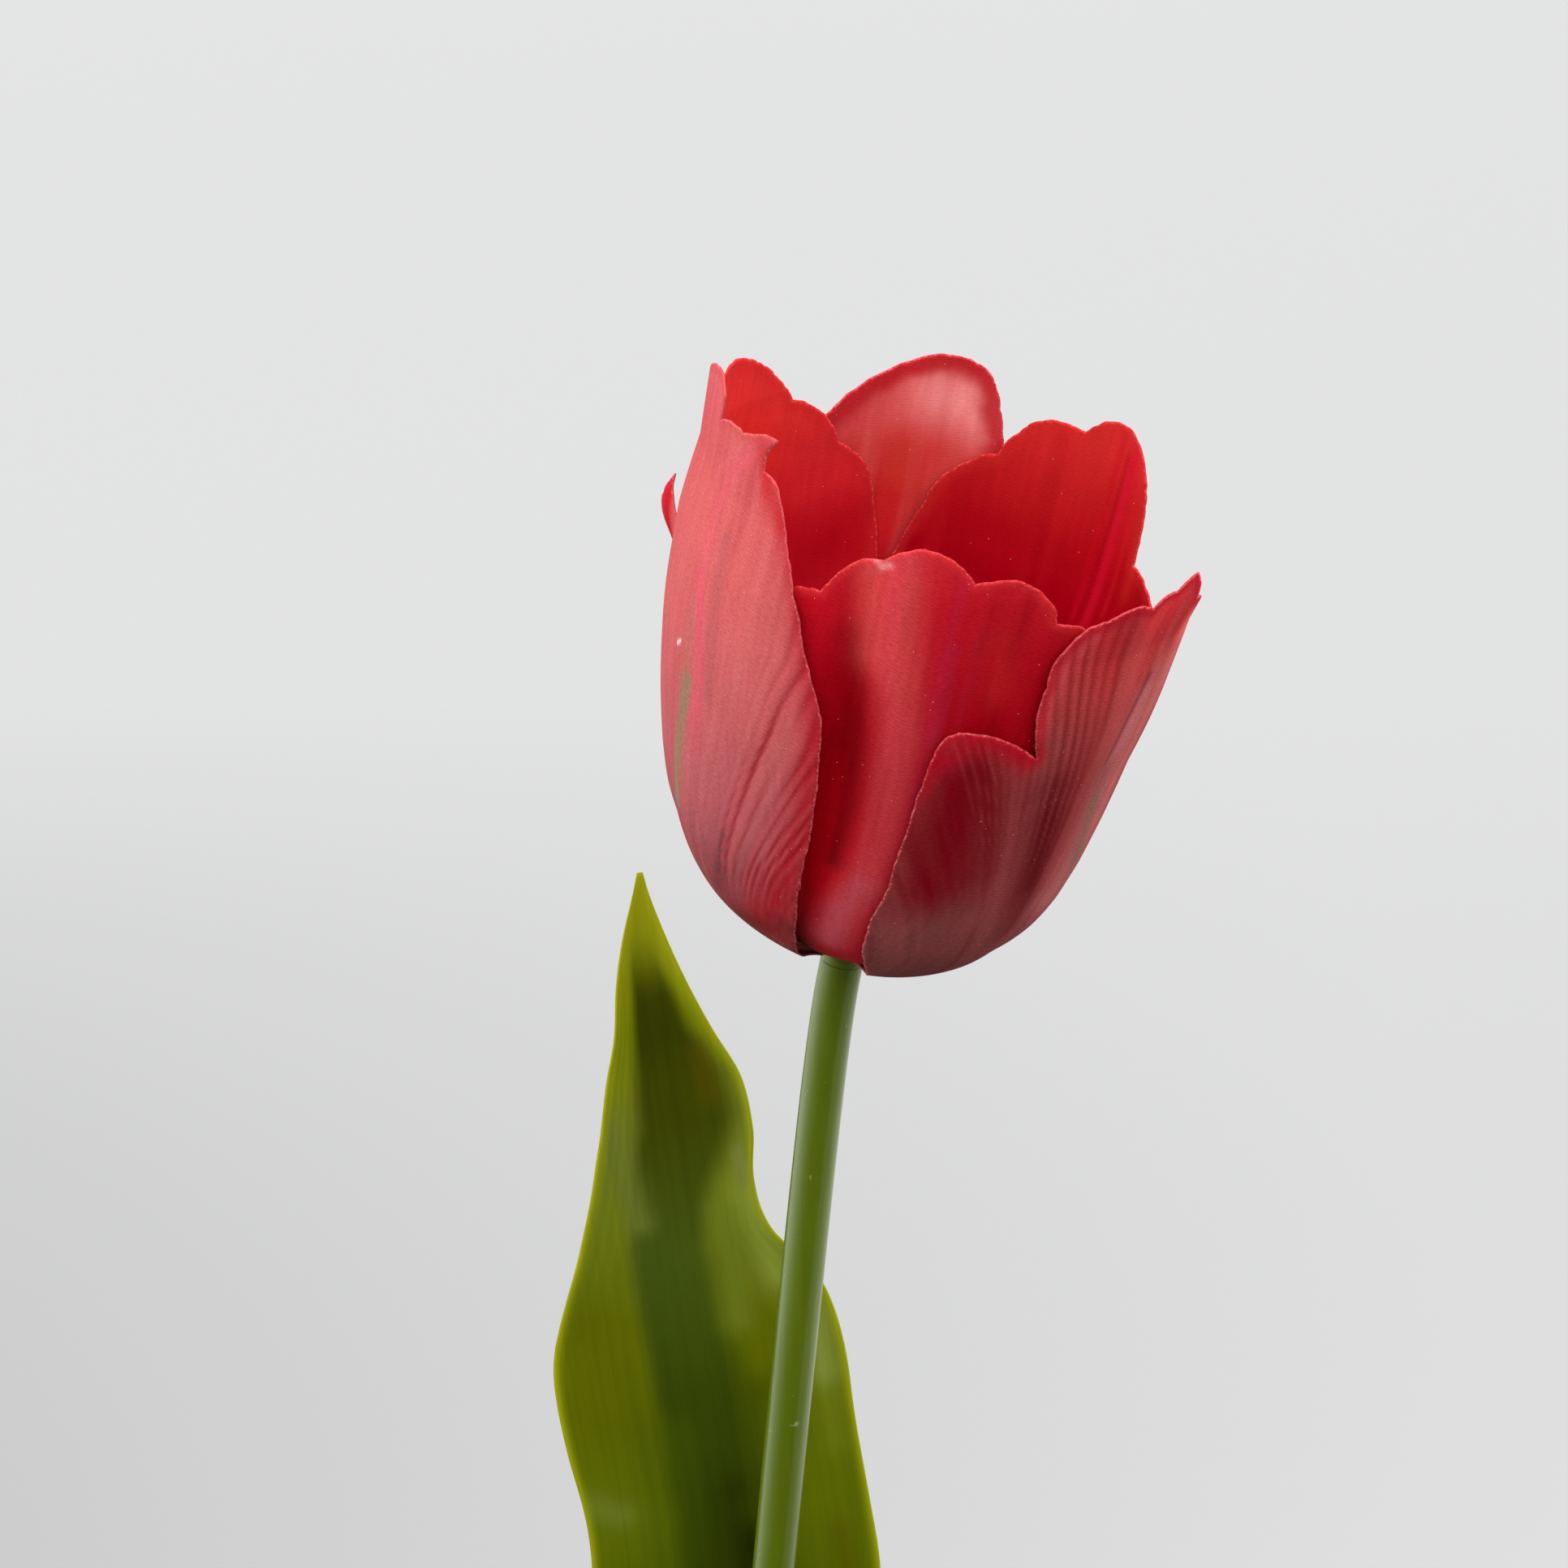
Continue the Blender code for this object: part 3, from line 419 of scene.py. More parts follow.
# How each petal is coloured, outside and inside, in display colours: dyes, with painted light and
# shade where marked. "ground" is the colour at millimetres along the petal. "veins" lay a colour in
# streaks that run along the cloth: strength, period in millimetres and a number that sets them
# apart. The groove and ridge entries paint shade into the ribs' grooves and highlight on their
# ridges: colour and strength. "margin" tints the cut edge: strength and width. "strokes" are soft
# brush marks, some of them painted shade or highlight: strength, half width, and the points they
# follow. A face without a recipe of its own has the plain one.
PLAIN_DYES_AND_SHADE = {
    "inside": {
        "ground": ((0, (66, 46, 24)), (14, (104, 16, 20)), (30, (150, 6, 22)),
                   (50, (182, 20, 32)), (75, (205, 42, 45))),
        "veins": (((130, 0, 16), 0.3, 3.2, 1), ((226, 70, 70), 0.2, 4.5, 2)),
        "margin": ((186, 26, 36), 0.5, 1.6),
    },
    "outside": {
        "ground": ((0, (140, 76, 70)), (14, (150, 70, 70)), (34, (176, 66, 70)),
                   (55, (200, 76, 80)), (85, (214, 84, 88))),
        "veins": (((150, 32, 48), 0.4, 2.8, 1), ((226, 122, 118), 0.3, 3.6, 2)),
        "groove": ((150, 30, 44), 0.35),
        "margin": ((194, 44, 58), 0.5, 1.6),
    },
}
DYES_AND_PAINTED_LIGHT = {
    ("petal_outer_front_left", "outside"): {
        "ground": ((0, (116, 56, 52)), (18, (138, 68, 65)), (24, (154, 77, 80)),
                   (30, (167, 88, 92)), (36, (183, 96, 101)), (42, (190, 98, 102)),
                   (48, (196, 99, 100)), (54, (204, 101, 102)), (66, (208, 100, 99)),
                   (78, (206, 93, 95)), (86, (212, 104, 105))),
        "veins": (((186, 66, 74), 0.3, 1.3, 1), ((218, 122, 118), 0.25, 1.7, 2)),
        "groove": ((150, 14, 32), 0.75),
        "ridge": ((208, 88, 92), 0.5),
        "margin": ((190, 44, 56), 0.3, 0.8),
        "strokes": (
            ((180, 32, 44), 0.95, 2.9, ((20, 79), (24, 68), (27, 58), (27.6, 50), (25.6, 40),
                                       (22, 31), (17.5, 24), (13, 19))),
            ((200, 54, 56), 0.9, 2.0, ((12.5, 83), (14.5, 79.4), (18, 76))),
            ((176, 112, 98), 0.5, 1.5, ((4.8, 60), (5.2, 52), (4.8, 46))),
            ((214, 104, 110), 0.5, 0.7, ((8, 81), (4, 77), (3, 72), (3.4, 66), (4, 60))),
            ((220, 98, 110), 0.6, 0.9, ((10.5, 82), (7, 77), (5.6, 72), (5.6, 66), (6.4, 60))),
            ((224, 86, 110), 0.5, 0.85, ((5.6, 64), (7.2, 56), (7.7, 50), (6.9, 44.5))),
            ((222, 84, 106), 0.5, 0.35, ((6.6, 60), (8.8, 52), (8.6, 46), (7.4, 41))),
            ((168, 88, 92), 0.4, 1.1, ((9, 70), (9.8, 60), (10, 50))),
            ((146, 128, 100), 0.95, 1.1, ((5.3, 50), (4.2, 44), (2.8, 38), (1.4, 32))),
            ((96, 72, 76), 0.75, 0.5, ((12.2, 32.4), (10.6, 29), (9, 25.5))),
            ((112, 64, 68), 0.6, 1.1, ((10, 26.5), (7.4, 22.4))),
            ((112, 44, 42), 0.6, 2.0, ((9, 18), (14, 19.5), (18, 22))),
            ((192, 22, 36), 1.0, 2.4, ((-27.4, 63), (-26.6, 58), (-25.4, 53))),
            ((252, 240, 236), 0.95, 0.2, ((1.7, 53.2), (2.8, 54.0))),
        ),
    },
    ("petal_outer_front_right", "outside"): {
        "ground": ((0, (118, 62, 58)), (18, (140, 76, 74)), (26, (146, 74, 75)),
                   (34, (140, 50, 52)), (44, (140, 44, 47)), (54, (166, 60, 60)),
                   (60, (186, 64, 63)), (68, (204, 52, 56)), (75, (222, 66, 72))),
        "veins": (((120, 10, 24), 0.4, 2.0, 1), ((190, 96, 94), 0.3, 2.4, 2)),
        "groove": ((118, 12, 26), 0.5),
        "ridge": ((208, 92, 90), 0.3),
        "margin": ((190, 20, 42), 0.7, 1.2),
        "strokes": (
            ((134, 8, 24), 0.95, 4.9, ((-21, 51), (-20.5, 42), (-18.5, 34))),
            ((192, 14, 40), 0.8, 1.9, ((-25, 52), (-22, 55.5), (-17, 55), (-13.5, 52.8))),
            ((160, 76, 76), 0.5, 2.4, ((-11.4, 55), (-9.4, 46), (-8, 38), (-8.6, 30),
                                        (-11, 23))),
            # painted shade in a dark band beside the crease near the middle
            ((104, 18, 26), 0.6, 3.0, ((-7.4, 48), (-5.6, 40), (-4, 35), (-1.6, 25))),
            ((98, 16, 24), 0.65, 1.6, ((-6.8, 44), (-5.2, 38), (-3.8, 33))),
            # painted light on the side turned towards the right-hand lamp
            ((200, 112, 110), 0.9, 3.7, ((8.4, 61), (6.2, 52), (6, 44), (6, 36), (5.4, 28))),
            ((206, 128, 132), 0.5, 1.3, ((4.4, 59), (3.2, 50))),
            ((122, 44, 50), 0.7, 0.45, ((4.2, 61.5), (2.8, 55.5), (1.8, 49))),
            ((150, 96, 90), 0.5, 1.7, ((2.4, 48), (4.6, 40.5), (6.2, 34.5), (7.4, 26))),
            ((128, 112, 94), 0.6, 0.9, ((3.6, 43.6), (5.2, 38), (6.4, 33))),
            ((226, 56, 64), 0.7, 2.3, ((-1, 71), (4, 73.5), (8, 74))),
            # painted light on the upper right lobe, turned towards the right-hand lamp
            ((236, 122, 120), 0.95, 3.2, ((20, 59), (16.5, 63), (12, 67))),
            ((230, 84, 92), 0.65, 1.4, ((-14, 57), (-13.8, 66), (-10.5, 70.5))),
        ),
    },
    ("petal_outer_back", "inside"): {
        # painted sheen: the paler band from 66 to 76 mm along the inside
        "ground": ((0, (66, 46, 24)), (16, (140, 12, 22)), (40, (190, 18, 32)), (54, (212, 30, 40)),
                   (60, (208, 40, 41)), (66, (212, 64, 61)), (70, (225, 98, 96)),
                   (73, (231, 112, 112)), (76, (226, 90, 90)), (80, (206, 62, 64))),
        "veins": (((196, 50, 50), 0.2, 2.4, 1), ((242, 140, 136), 0.2, 3.0, 2)),
        # painted shade: the dark band along the upper cut edge stands in for the top curling
        # inwards
        "margin": ((190, 30, 40), 0.9, 2.3),
        "strokes": (
            # painted sheen near the top of the inside
            ((244, 152, 150), 0.95, 3.7, ((-8.4, 71.8), (-5.4, 73.6), (-2.5, 74))),
            ((212, 70, 70), 0.6, 2.6, ((4.6, 74), (7, 70.4))),
            ((204, 58, 42), 0.45, 1.8, ((1.6, 67.4), (1.2, 63))),
        ),
    },
    ("petal_inner_front", "outside"): {
        "ground": ((0, (150, 60, 60)), (20, (206, 24, 42)), (30, (208, 4, 26)),
                   (38, (202, 2, 24)), (48, (178, 1, 20)), (60, (180, 6, 26)),
                   (66, (194, 15, 33)), (72, (204, 24, 40)), (78, (214, 38, 50))),
        "veins": (((156, 0, 20), 0.3, 2.2, 1), ((214, 40, 48), 0.2, 2.6, 2)),
        "margin": ((226, 58, 64), 0.35, 0.8),
        "strokes": (
            # painted shadow that the outer front left petal casts into the crease on this petal's
            # left side
            ((150, 0, 16), 0.85, 2.2, ((-9, 65), (-8.2, 58), (-7.2, 51))),
            ((138, 0, 13), 0.9, 1.4, ((-7.4, 62), (-5.6, 52), (-4.9, 43), (-5.2, 34))),
            # partly the cloth's paler middle, partly painted light on the ridge between the creases
            ((208, 76, 74), 0.85, 2.9, ((-8, 74.6), (-6.6, 70), (-5.4, 64))),
            ((213, 68, 76), 0.98, 2.8, ((-5, 78), (-3.8, 70), (-2.4, 62), (-0.8, 54),
                                        (-0.2, 46), (-0.2, 38), (-1, 31), (-2.6, 25),
                                        (-3, 20))),
            ((212, 88, 100), 0.7, 2.2, ((-1.2, 31), (-2.8, 26), (-3.8, 20))),
            # painted shade in the dark gap between the petals at the claw
            ((60, 44, 20), 1.0, 2.8, ((-8, 13), (-6, 10), (-6, 7.4))),
            ((196, 72, 58), 0.35, 1.3, ((-2.6, 74), (-2.2, 66), (-1.4, 60))),
            ((200, 34, 38), 0.55, 3.0, ((8.4, 68), (10, 62))),
            ((206, 34, 64), 0.6, 0.7, ((2.7, 76), (2.5, 68), (2.3, 60), (2.8, 52),
                                        (2.6, 42), (1.9, 33))),
            ((184, 44, 76), 0.35, 0.8, ((3.4, 67), (3.6, 60), (3.3, 54))),
            ((170, 24, 52), 0.35, 0.7, ((6.1, 70), (6.1, 63), (5.7, 57))),
            # painted highlight at the notch
            ((244, 186, 186), 0.7, 0.4, ((-8.2, 75.4), (-7.2, 74.8), (-6.2, 75.4))),
        ),
    },
    ("petal_inner_back_right", "inside"): {
        "ground": ((0, (66, 46, 24)), (16, (120, 4, 16)), (40, (152, 0, 17)), (54, (172, 0, 22)),
                   (60, (184, 12, 26)), (66, (195, 30, 34)), (72, (206, 42, 43)),
                   (80, (212, 50, 49))),
        "veins": (((156, 0, 18), 0.2, 2.6, 1), ((206, 34, 40), 0.2, 3.0, 2)),
        "margin": ((208, 48, 46), 0.4, 1.2),
        "strokes": (
            ((212, 20, 50), 0.7, 0.8, ((-7.6, 77), (-7.8, 66), (-8, 52))),
            ((198, 8, 36), 0.55, 0.35, ((-5.5, 77), (-5.8, 64), (-6, 52))),
            ((216, 30, 46), 0.5, 0.4, ((-9.6, 75), (-9.9, 62), (-10.2, 54))),
            ((150, 0, 20), 0.5, 0.3, ((-6.7, 74), (-6.9, 62), (-7.1, 52))),
            ((208, 48, 36), 0.4, 1.1, ((-11.6, 72), (-12.2, 64), (-12.6, 58))),
        ),
    },
    ("petal_inner_back_left", "inside"): {
        "ground": ((0, (66, 46, 24)), (16, (140, 8, 20)), (46, (200, 22, 36)), (54, (202, 18, 34)),
                   (60, (217, 31, 42)), (66, (224, 46, 50)), (72, (230, 54, 53)),
                   (80, (214, 48, 48))),
        "veins": (((192, 14, 30), 0.2, 4.4, 1), ((232, 58, 50), 0.2, 5.0, 2)),
        "margin": ((206, 38, 44), 0.4, 1.5),
        "strokes": (
            # painted glow of light shining through the cloth near the top
            ((236, 46, 44), 0.6, 2.9, ((6, 73), (1, 71), (-5, 67))),
            ((188, 8, 28), 0.65, 2.8, ((-21.4, 58), (-17, 53.2), (-13, 50))),
            ((230, 44, 52), 0.5, 1.8, ((-18.4, 63), (-14, 61), (-11, 60))),
        ),
    },
}
for (petal_name, face), recipe in DYES_AND_PAINTED_LIGHT.items():
    PETALS[petal_name][face] = recipe

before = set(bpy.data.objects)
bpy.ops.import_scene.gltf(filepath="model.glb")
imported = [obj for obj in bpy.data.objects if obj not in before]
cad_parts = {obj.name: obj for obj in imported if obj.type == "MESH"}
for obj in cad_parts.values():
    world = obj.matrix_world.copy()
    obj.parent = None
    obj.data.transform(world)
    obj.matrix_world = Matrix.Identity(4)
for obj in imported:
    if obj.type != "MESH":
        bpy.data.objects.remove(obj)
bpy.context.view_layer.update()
scene = bpy.context.scene

NOISE_CELLS = 97


def linear(red, green, blue):
    """A colour given as display values from 0 to 255, in linear light."""
    shares = np.array([red, green, blue]) / 255
    low = shares / 12.92
    high = ((shares + 0.055) / 1.055) ** 2.4
    return np.where(shares <= 0.04045, low, high)


def value_noise(x, y, seed):
    """Soft noise from 0 to 1, one cell to a unit."""
    cells = np.random.default_rng(seed).random((NOISE_CELLS, NOISE_CELLS))
    left, low = np.floor(x).astype(int), np.floor(y).astype(int)
    across, up = smooth(0, 1, x - left), smooth(0, 1, y - low)

    def cell(i, j):
        return cells[(left + i) % NOISE_CELLS, (low + j) % NOISE_CELLS]

    below = cell(0, 0) + (cell(1, 0) - cell(0, 0)) * across
    above = cell(0, 1) + (cell(1, 1) - cell(0, 1)) * across
    return below + (above - below) * up


def rough_noise(x, y, seed, octaves=3):
    """Several layers of soft noise, from -1 to 1."""
    weight = made = 0
    for octave in range(octaves):
        share = 0.5**octave
        made = made + share * (2 * value_noise(x * 2**octave, y * 2**octave, seed + octave) - 1)
        weight += share
    return made / weight


def ramp(rows, place):
    """The rows' colours, which stand last in them, mixed by how far along each place lies."""
    stations = [row[0] for row in rows]
    colours = np.array([linear(*row[-1]) for row in rows])
    return np.stack([np.interp(place, stations, column) for column in colours.T], axis=1)


def laid(under, colour, share):
    """A colour in linear light laid over the others, with a share at each point."""
    share = np.clip(share, 0, 1)[:, None]
    return under * (1 - share) + colour * share


def stroke_share(points, x, s, width):
    """How strongly a soft brush stroke along the points covers each place, from 0 to 1."""
    knots = np.array(points, float)
    place = np.stack([x, s], axis=1)
    best = np.full(len(x), np.inf)
    for start, end in zip(knots, knots[1:]):
        way = end - start
        share = np.clip(((place - start) @ way) / (way @ way), 0, 1)
        best = np.minimum(best, np.linalg.norm(place - start - share[:, None] * way, axis=1))
    return hump(best, width)


def linked(name, data):
    """A new object in the scene."""
    made = bpy.data.objects.new(name, data)
    scene.collection.objects.link(made)
    return made


def add_mesh(name, points, faces, finish):
    """A smoothly shaded piece of one material."""
    mesh = bpy.data.meshes.new(name)
    mesh.from_pydata([tuple(point) for point in points], [], faces)
    mesh.validate()
    mesh.shade_smooth()
    mesh.materials.append(finish)
    return linked(name, mesh)


def store(piece, name, values):
    """Keeps one value a point with the mesh: numbers, vectors or colours, by their width."""
    values = np.asarray(values, np.float32)
    kind, field = {1: ("FLOAT", "value"), 3: ("FLOAT_VECTOR", "vector"),
                   4: ("FLOAT_COLOR", "color")}[1 if values.ndim == 1 else values.shape[1]]
    kept = piece.data.attributes.new(name, kind, "POINT")
    kept.data.foreach_set(field, values.ravel())


# Petals


CLOTH_THICKNESS = 0.22 * MM
CUT_STEP = 0.3 * MM
FRAY_START = (4, 12)  # in millimetres along
FRAYS = ((0.13, 0.9, 0), (0.2, 3.1, 5))  # depth and length in millimetres, and a seed's step
WEB_STEP = 0.46 * MM
WEB_CLEARANCE = 0.55  # between the cut and the web inside it, in steps
ROW_RISE = math.sin(math.radians(60))  # from one row of the web to the next, in steps
POINTS_AT_ONCE = 1500  # compared with a whole outline
FRAY_SEED = 40
RELIEF_SEED = 100
DYE_SEED = 200
INSIDE_SEED_STEP = 50
RIB_SWAY = 0.6  # of a period
FINE_PERIOD = (0.75, 1.25)  # ribs closer than this, in millimetres, fade out
FAINT_RIBS = 0.06  # where they don't reach
CRUMPLE_HEIGHT = 0.16  # in millimetres
CRUMPLE_START = (8, 25)
TINT_START = (12, 30)  # the painted shade in the grooves and highlight on the ridges start here, in millimetres along
MARGIN_START = (40, 52)  # and the cut edge from here
INSIDE_SHIFT = (37, 11, 0)  # sets the marks on the cloth's inside apart from those outside
INSIDE_THREAD = 0.4  # and its threads show less


def cut_outline(petal):
    """The petal's flat outline with its frayed cut, once round from its claw, in metres."""
    lobes = petal["lobes"]
    left = [(-x, s) for x, s in petal["edge"]] + list(petal["left"]) + [lobes[0][:2]]
    right = [lobes[-1][:2]] + list(petal["right"])
    right += petal.get("right_edge", petal["edge"])[::-1]
    runs = [smooth_curve(left, 240)]
    runs += [lobe_edge(a[:2], b[:2], a[2]) for a, b in zip(lobes, lobes[1:])]
    runs.append(smooth_curve(right, 240))
    outline = []
    for run in runs:
        outline.extend(resample(run * MM, CUT_STEP)[:-1])
    outline.append(runs[-1][-1] * MM)
    outline = np.array(outline)
    ahead = np.roll(outline, -1, axis=0) - np.roll(outline, 1, axis=0)
    side = np.stack([-ahead[:, 1], ahead[:, 0]], axis=1)
    side /= np.linalg.norm(side, axis=1, keepdims=True)
    place = np.arange(len(outline)) * CUT_STEP / MM
    seed = FRAY_SEED + abs(petal["azimuth"])
    fray = sum(depth * rough_noise(place / long, 0, seed + step, 2) for depth, long, step in FRAYS)
    fade = smooth(*FRAY_START, outline[:, 1] / MM)
    return outline + side * (fray * fade)[:, None] * MM


def portions(points):
    """The points, a limited number at once."""
    return np.array_split(points, max(1, len(points) // POINTS_AT_ONCE))


def edge_distance(outline, points):
    """How far each point lies from the outline."""
    found = []
    for part in portions(points):
        apart = part[:, None, :] - outline[None, :, :]
        found.append(np.sqrt((apart**2).sum(axis=2).min(axis=1)))
    return np.concatenate(found)


def inside(outline, points):
    """Which points lie inside the outline."""
    start, end = outline, np.roll(outline, -1, axis=0)
    found = []
    for part in portions(points):
        x, y = part[:, 0][:, None], part[:, 1][:, None]
        crosses = (start[:, 1] > y) != (end[:, 1] > y)
        rise = np.where(crosses, end[:, 1] - start[:, 1], 1)
        hits = x < start[:, 0] + (y - start[:, 1]) / rise * (end[:, 0] - start[:, 0])
        found.append((crosses & hits).sum(axis=1) % 2 == 1)
    return np.concatenate(found)


def inside_points(outline):
    """Points of an even triangular web that lie well inside the outline."""
    low, high = outline.min(axis=0), outline.max(axis=0)
    rows = []
    for row, y in enumerate(np.arange(low[1] + WEB_STEP / 2, high[1], WEB_STEP * ROW_RISE)):
        x = np.arange(low[0] + WEB_STEP * (0.25 + 0.5 * (row % 2)), high[0], WEB_STEP)
        rows.append(np.stack([x, np.full(len(x), y)], axis=1))
    points = np.concatenate(rows)
    points = points[inside(outline, points)]
    return points[edge_distance(outline, points) > WEB_CLEARANCE * WEB_STEP]


def fan(petal, across, along):
    """Across, in millimetres, as if the ribs ran side by side, and how wide apart they run."""
    sides = [np.array(petal.get(side, PLAIN_FAN)).T for side in ("fan_left", "fan_right")]
    left, right = (np.interp(along / MM, high, wide) for high, wide in sides)
    wide = np.where(across < 0, left, right)
    return across / MM / wide, wide


def relief(petal, across, along):
    """How far the cloth's ribs and crumples stand out of the smooth wall, in millimetres, and the
    ribs alone from -1 to 1."""
    x, s = across / MM, along / MM
    spread, wide = fan(petal, across, along)
    period, depth, start, full, *reach = petal["ribs"]
    grow, grown, fade, end = reach or WHOLE_REACH
    seed = RELIEF_SEED + abs(petal["azimuth"])
    sway = RIB_SWAY * rough_noise(spread / 5, s / 22, seed, 2)
    ribs = np.sin(2 * math.pi * (spread / period + sway))
    ribs = ribs * (0.55 + 0.6 * rough_noise(spread / 2.2, s / 16, seed + 3, 2))
    strong = smooth(grow, grown, spread) * smooth(end, fade, spread)
    strong = strong * smooth(*FINE_PERIOD, period * wide)
    ribs = ribs * (FAINT_RIBS + (1 - FAINT_RIBS) * strong)
    raised = depth * smooth(start, full, s) * ribs
    crumple = CRUMPLE_HEIGHT * rough_noise(x / 9, s / 17, seed + 7) * smooth(*CRUMPLE_START, s)
    return raised + crumple, ribs


def dye_and_painted_light(petal, face, across, along, ribs, margin):
    """The colour at each point of one face of the cloth, with its painted light and shade, in
    linear light.
    """
    x, s = across / MM, along / MM
    seed = DYE_SEED + abs(petal["azimuth"]) + (0 if face == "outside" else INSIDE_SEED_STEP)
    recipe = petal.get(face, PLAIN_DYES_AND_SHADE[face])
    spread = fan(petal, across, along)[0]
    made = ramp(recipe["ground"], s + 3 * rough_noise(x / 12, s / 18, seed, 2))
    for colour, strength, period, seed_step in recipe["veins"]:
        veins = rough_noise(spread / period, s / 40, seed + seed_step, 2)
        made = laid(made, linear(*colour), strength * smooth(0.0, 0.7, veins))
    ragged = 1 + 0.35 * rough_noise(spread / 1.3, s / 22, seed + 13, 3)
    for colour, strength, width, points in recipe.get("strokes", ()):
        share = strength * ragged * stroke_share(points, x, s, width)
        made = laid(made, linear(*colour), share)
    # painted shade in the ribs' grooves and painted highlight on their ridges
    for part, low, high in (("groove", 0.1, -0.9), ("ridge", 0.0, 0.9)):
        if part in recipe:
            colour, strength = recipe[part]
            share = strength * smooth(low, high, ribs) * smooth(*TINT_START, s)
            made = laid(made, linear(*colour), share)
    colour, strength, width = recipe["margin"]
    wander = width * (1 + 0.35 * rough_noise(x / 3, s / 3, seed + 9, 2))
    share = strength * smooth(wander * 1.6, wander * 0.5, margin) * smooth(*MARGIN_START, s)
    return laid(made, linear(*colour), share)


def build_petal(node, petal, finish):
    """A thin shell of cloth on the cup's wall, cut and coloured, with painted light and shade."""
    outline = cut_outline(petal)
    flat = np.vstack([outline, inside_points(outline)])
    loop = list(range(len(outline)))
    flat, _, faces, *_ = delaunay_2d_cdt([Vector(p) for p in flat], [], [loop], 1, 1e-7)
    flat = np.array([tuple(p) for p in flat])
    across, along = flat[:, 0], flat[:, 1]
    margin = edge_distance(outline, flat) / MM
    raised, ribs = relief(petal, across, along)
    outward = wall_normal(petal, across, along)
    middle = wall_point(petal, across, along) + outward * raised[:, None] * MM
    half = outward * CLOTH_THICKNESS / 2
    count = len(flat)
    points = np.vstack([middle + half, middle - half])
    points = points @ np.array(HEAD_TURN).T + np.array(HEAD_BASE)
    shell = [tuple(face) for face in faces]
    shell += [tuple(k + count for k in face)[::-1] for face in faces]
    sides = {(face[k - 1], face[k]) for face in faces for k in range(len(face))}
    shell += [(b, a, a + count, b + count) for a, b in sorted(sides) if (b, a) not in sides]
    piece = add_mesh(node + "_cloth", points, shell, finish)
    dye_and_light = [dye_and_painted_light(petal, face, across, along, ribs, margin) for face in ("outside", "inside")]
    store(piece, "dye_and_light", np.hstack([np.vstack(dye_and_light), np.ones((2 * count, 1))]))
    place = np.stack([across / MM, along / MM, np.zeros(count)], axis=1)
    store(piece, "flat", np.vstack([place, place + INSIDE_SHIFT]))
    store(piece, "margin", np.tile(margin, 2))
    store(piece, "thread", np.repeat((1.0, INSIDE_THREAD), count))
    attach(piece, "head")
    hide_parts(node)


# Materials


def graph(name):
    """A new material's node tree, empty."""
    made = bpy.data.materials.new(name)
    made.use_nodes = True
    made.node_tree.nodes.clear()
    return made, made.node_tree


def add(tree, kind, inputs=(), **settings):
    """A node with its settings, and each input a constant or another node's output."""
    node = tree.nodes.new("ShaderNode" + kind)
    for key, value in settings.items():
        setattr(node, key, value)
    for key, value in dict(inputs).items():
        if isinstance(value, bpy.types.NodeSocket):
            tree.links.new(value, node.inputs[key])
        else:
            node.inputs[key].default_value = value
    return node


def stored(tree, name, output="Fac"):
    """What is kept with the mesh under that name."""
    return add(tree, "Attribute", attribute_name=name).outputs[output]


def object_place(tree):
    """The place in the frame's own axes."""
    return add(tree, "TexCoord").outputs["Object"]


def mixed(tree, share, first, second, how="MIX"):
    """The first colour with the second laid over it."""
    first, second = ((*c, 1) if isinstance(c, tuple) and len(c) == 3 else c
                     for c in (first, second))
    inputs = {0: share, 6: first, 7: second}
    return add(tree, "Mix", inputs, data_type="RGBA", blend_type=how).outputs[2]


def calc(tree, how, *values):
    """A value worked out from others."""
    return add(tree, "Math", dict(enumerate(values)), operation=how).outputs[0]


def spread_out(tree, value, low, high, bottom=0.0, top=1.0):
    """Maps low..high to bottom..top, held at both ends."""
    inputs = {0: value, 1: low, 2: high, 3: bottom, 4: top}
    return add(tree, "MapRange", inputs).outputs[0]


def tinted(tree, colour, tint, value, low, high, share=1.0, how="MIX"):
    """The colour with a tint laid on it where the value rises from low to high."""
    return mixed(tree, spread_out(tree, value, low, high, 0, share), colour, tint, how)


def noise(tree, place, scale, stretch=(1, 1, 1), detail=3.0, roughness=0.5):
    """Soft noise from 0 to 1, longer along an axis whose stretch is small."""
    moved = add(tree, "Mapping", {"Vector": place, "Scale": stretch}).outputs[0]
    inputs = {"Vector": moved, "Scale": scale, "Detail": detail, "Roughness": roughness}
    return add(tree, "TexNoise", inputs).outputs[0]


def colour_of(*values):
    """A display colour as a shader takes it."""
    return tuple(float(v) for v in linear(*values))


def bump(tree, height, strength, distance):
    """The normal of a surface with that height in its grain."""
    inputs = {"Height": height, "Strength": strength, "Distance": distance}
    return add(tree, "Bump", inputs).outputs[0]


def over(tree, share, first, second):
    """The second shader laid over the first by a share."""
    return add(tree, "MixShader", {0: share, 1: first, 2: second}).outputs[0]


def surface(tree, look, through=0.0, glow=None):
    """Gives the material its surface, and lets a share of the light fall through it."""
    shader = add(tree, "BsdfPrincipled", look).outputs[0]
    if through:
        lit = add(tree, "BsdfTranslucent", {"Color": glow, "Normal": look["Normal"]})
        shader = over(tree, through, shader, lit.outputs[0])
    add(tree, "OutputMaterial", {"Surface": shader})


TWILL_TURN = math.radians(-6)
TWILL_PERIOD = 0.27  # in millimetres
THREAD_PERIOD = 0.19
FIBRE_TURN = 0.5


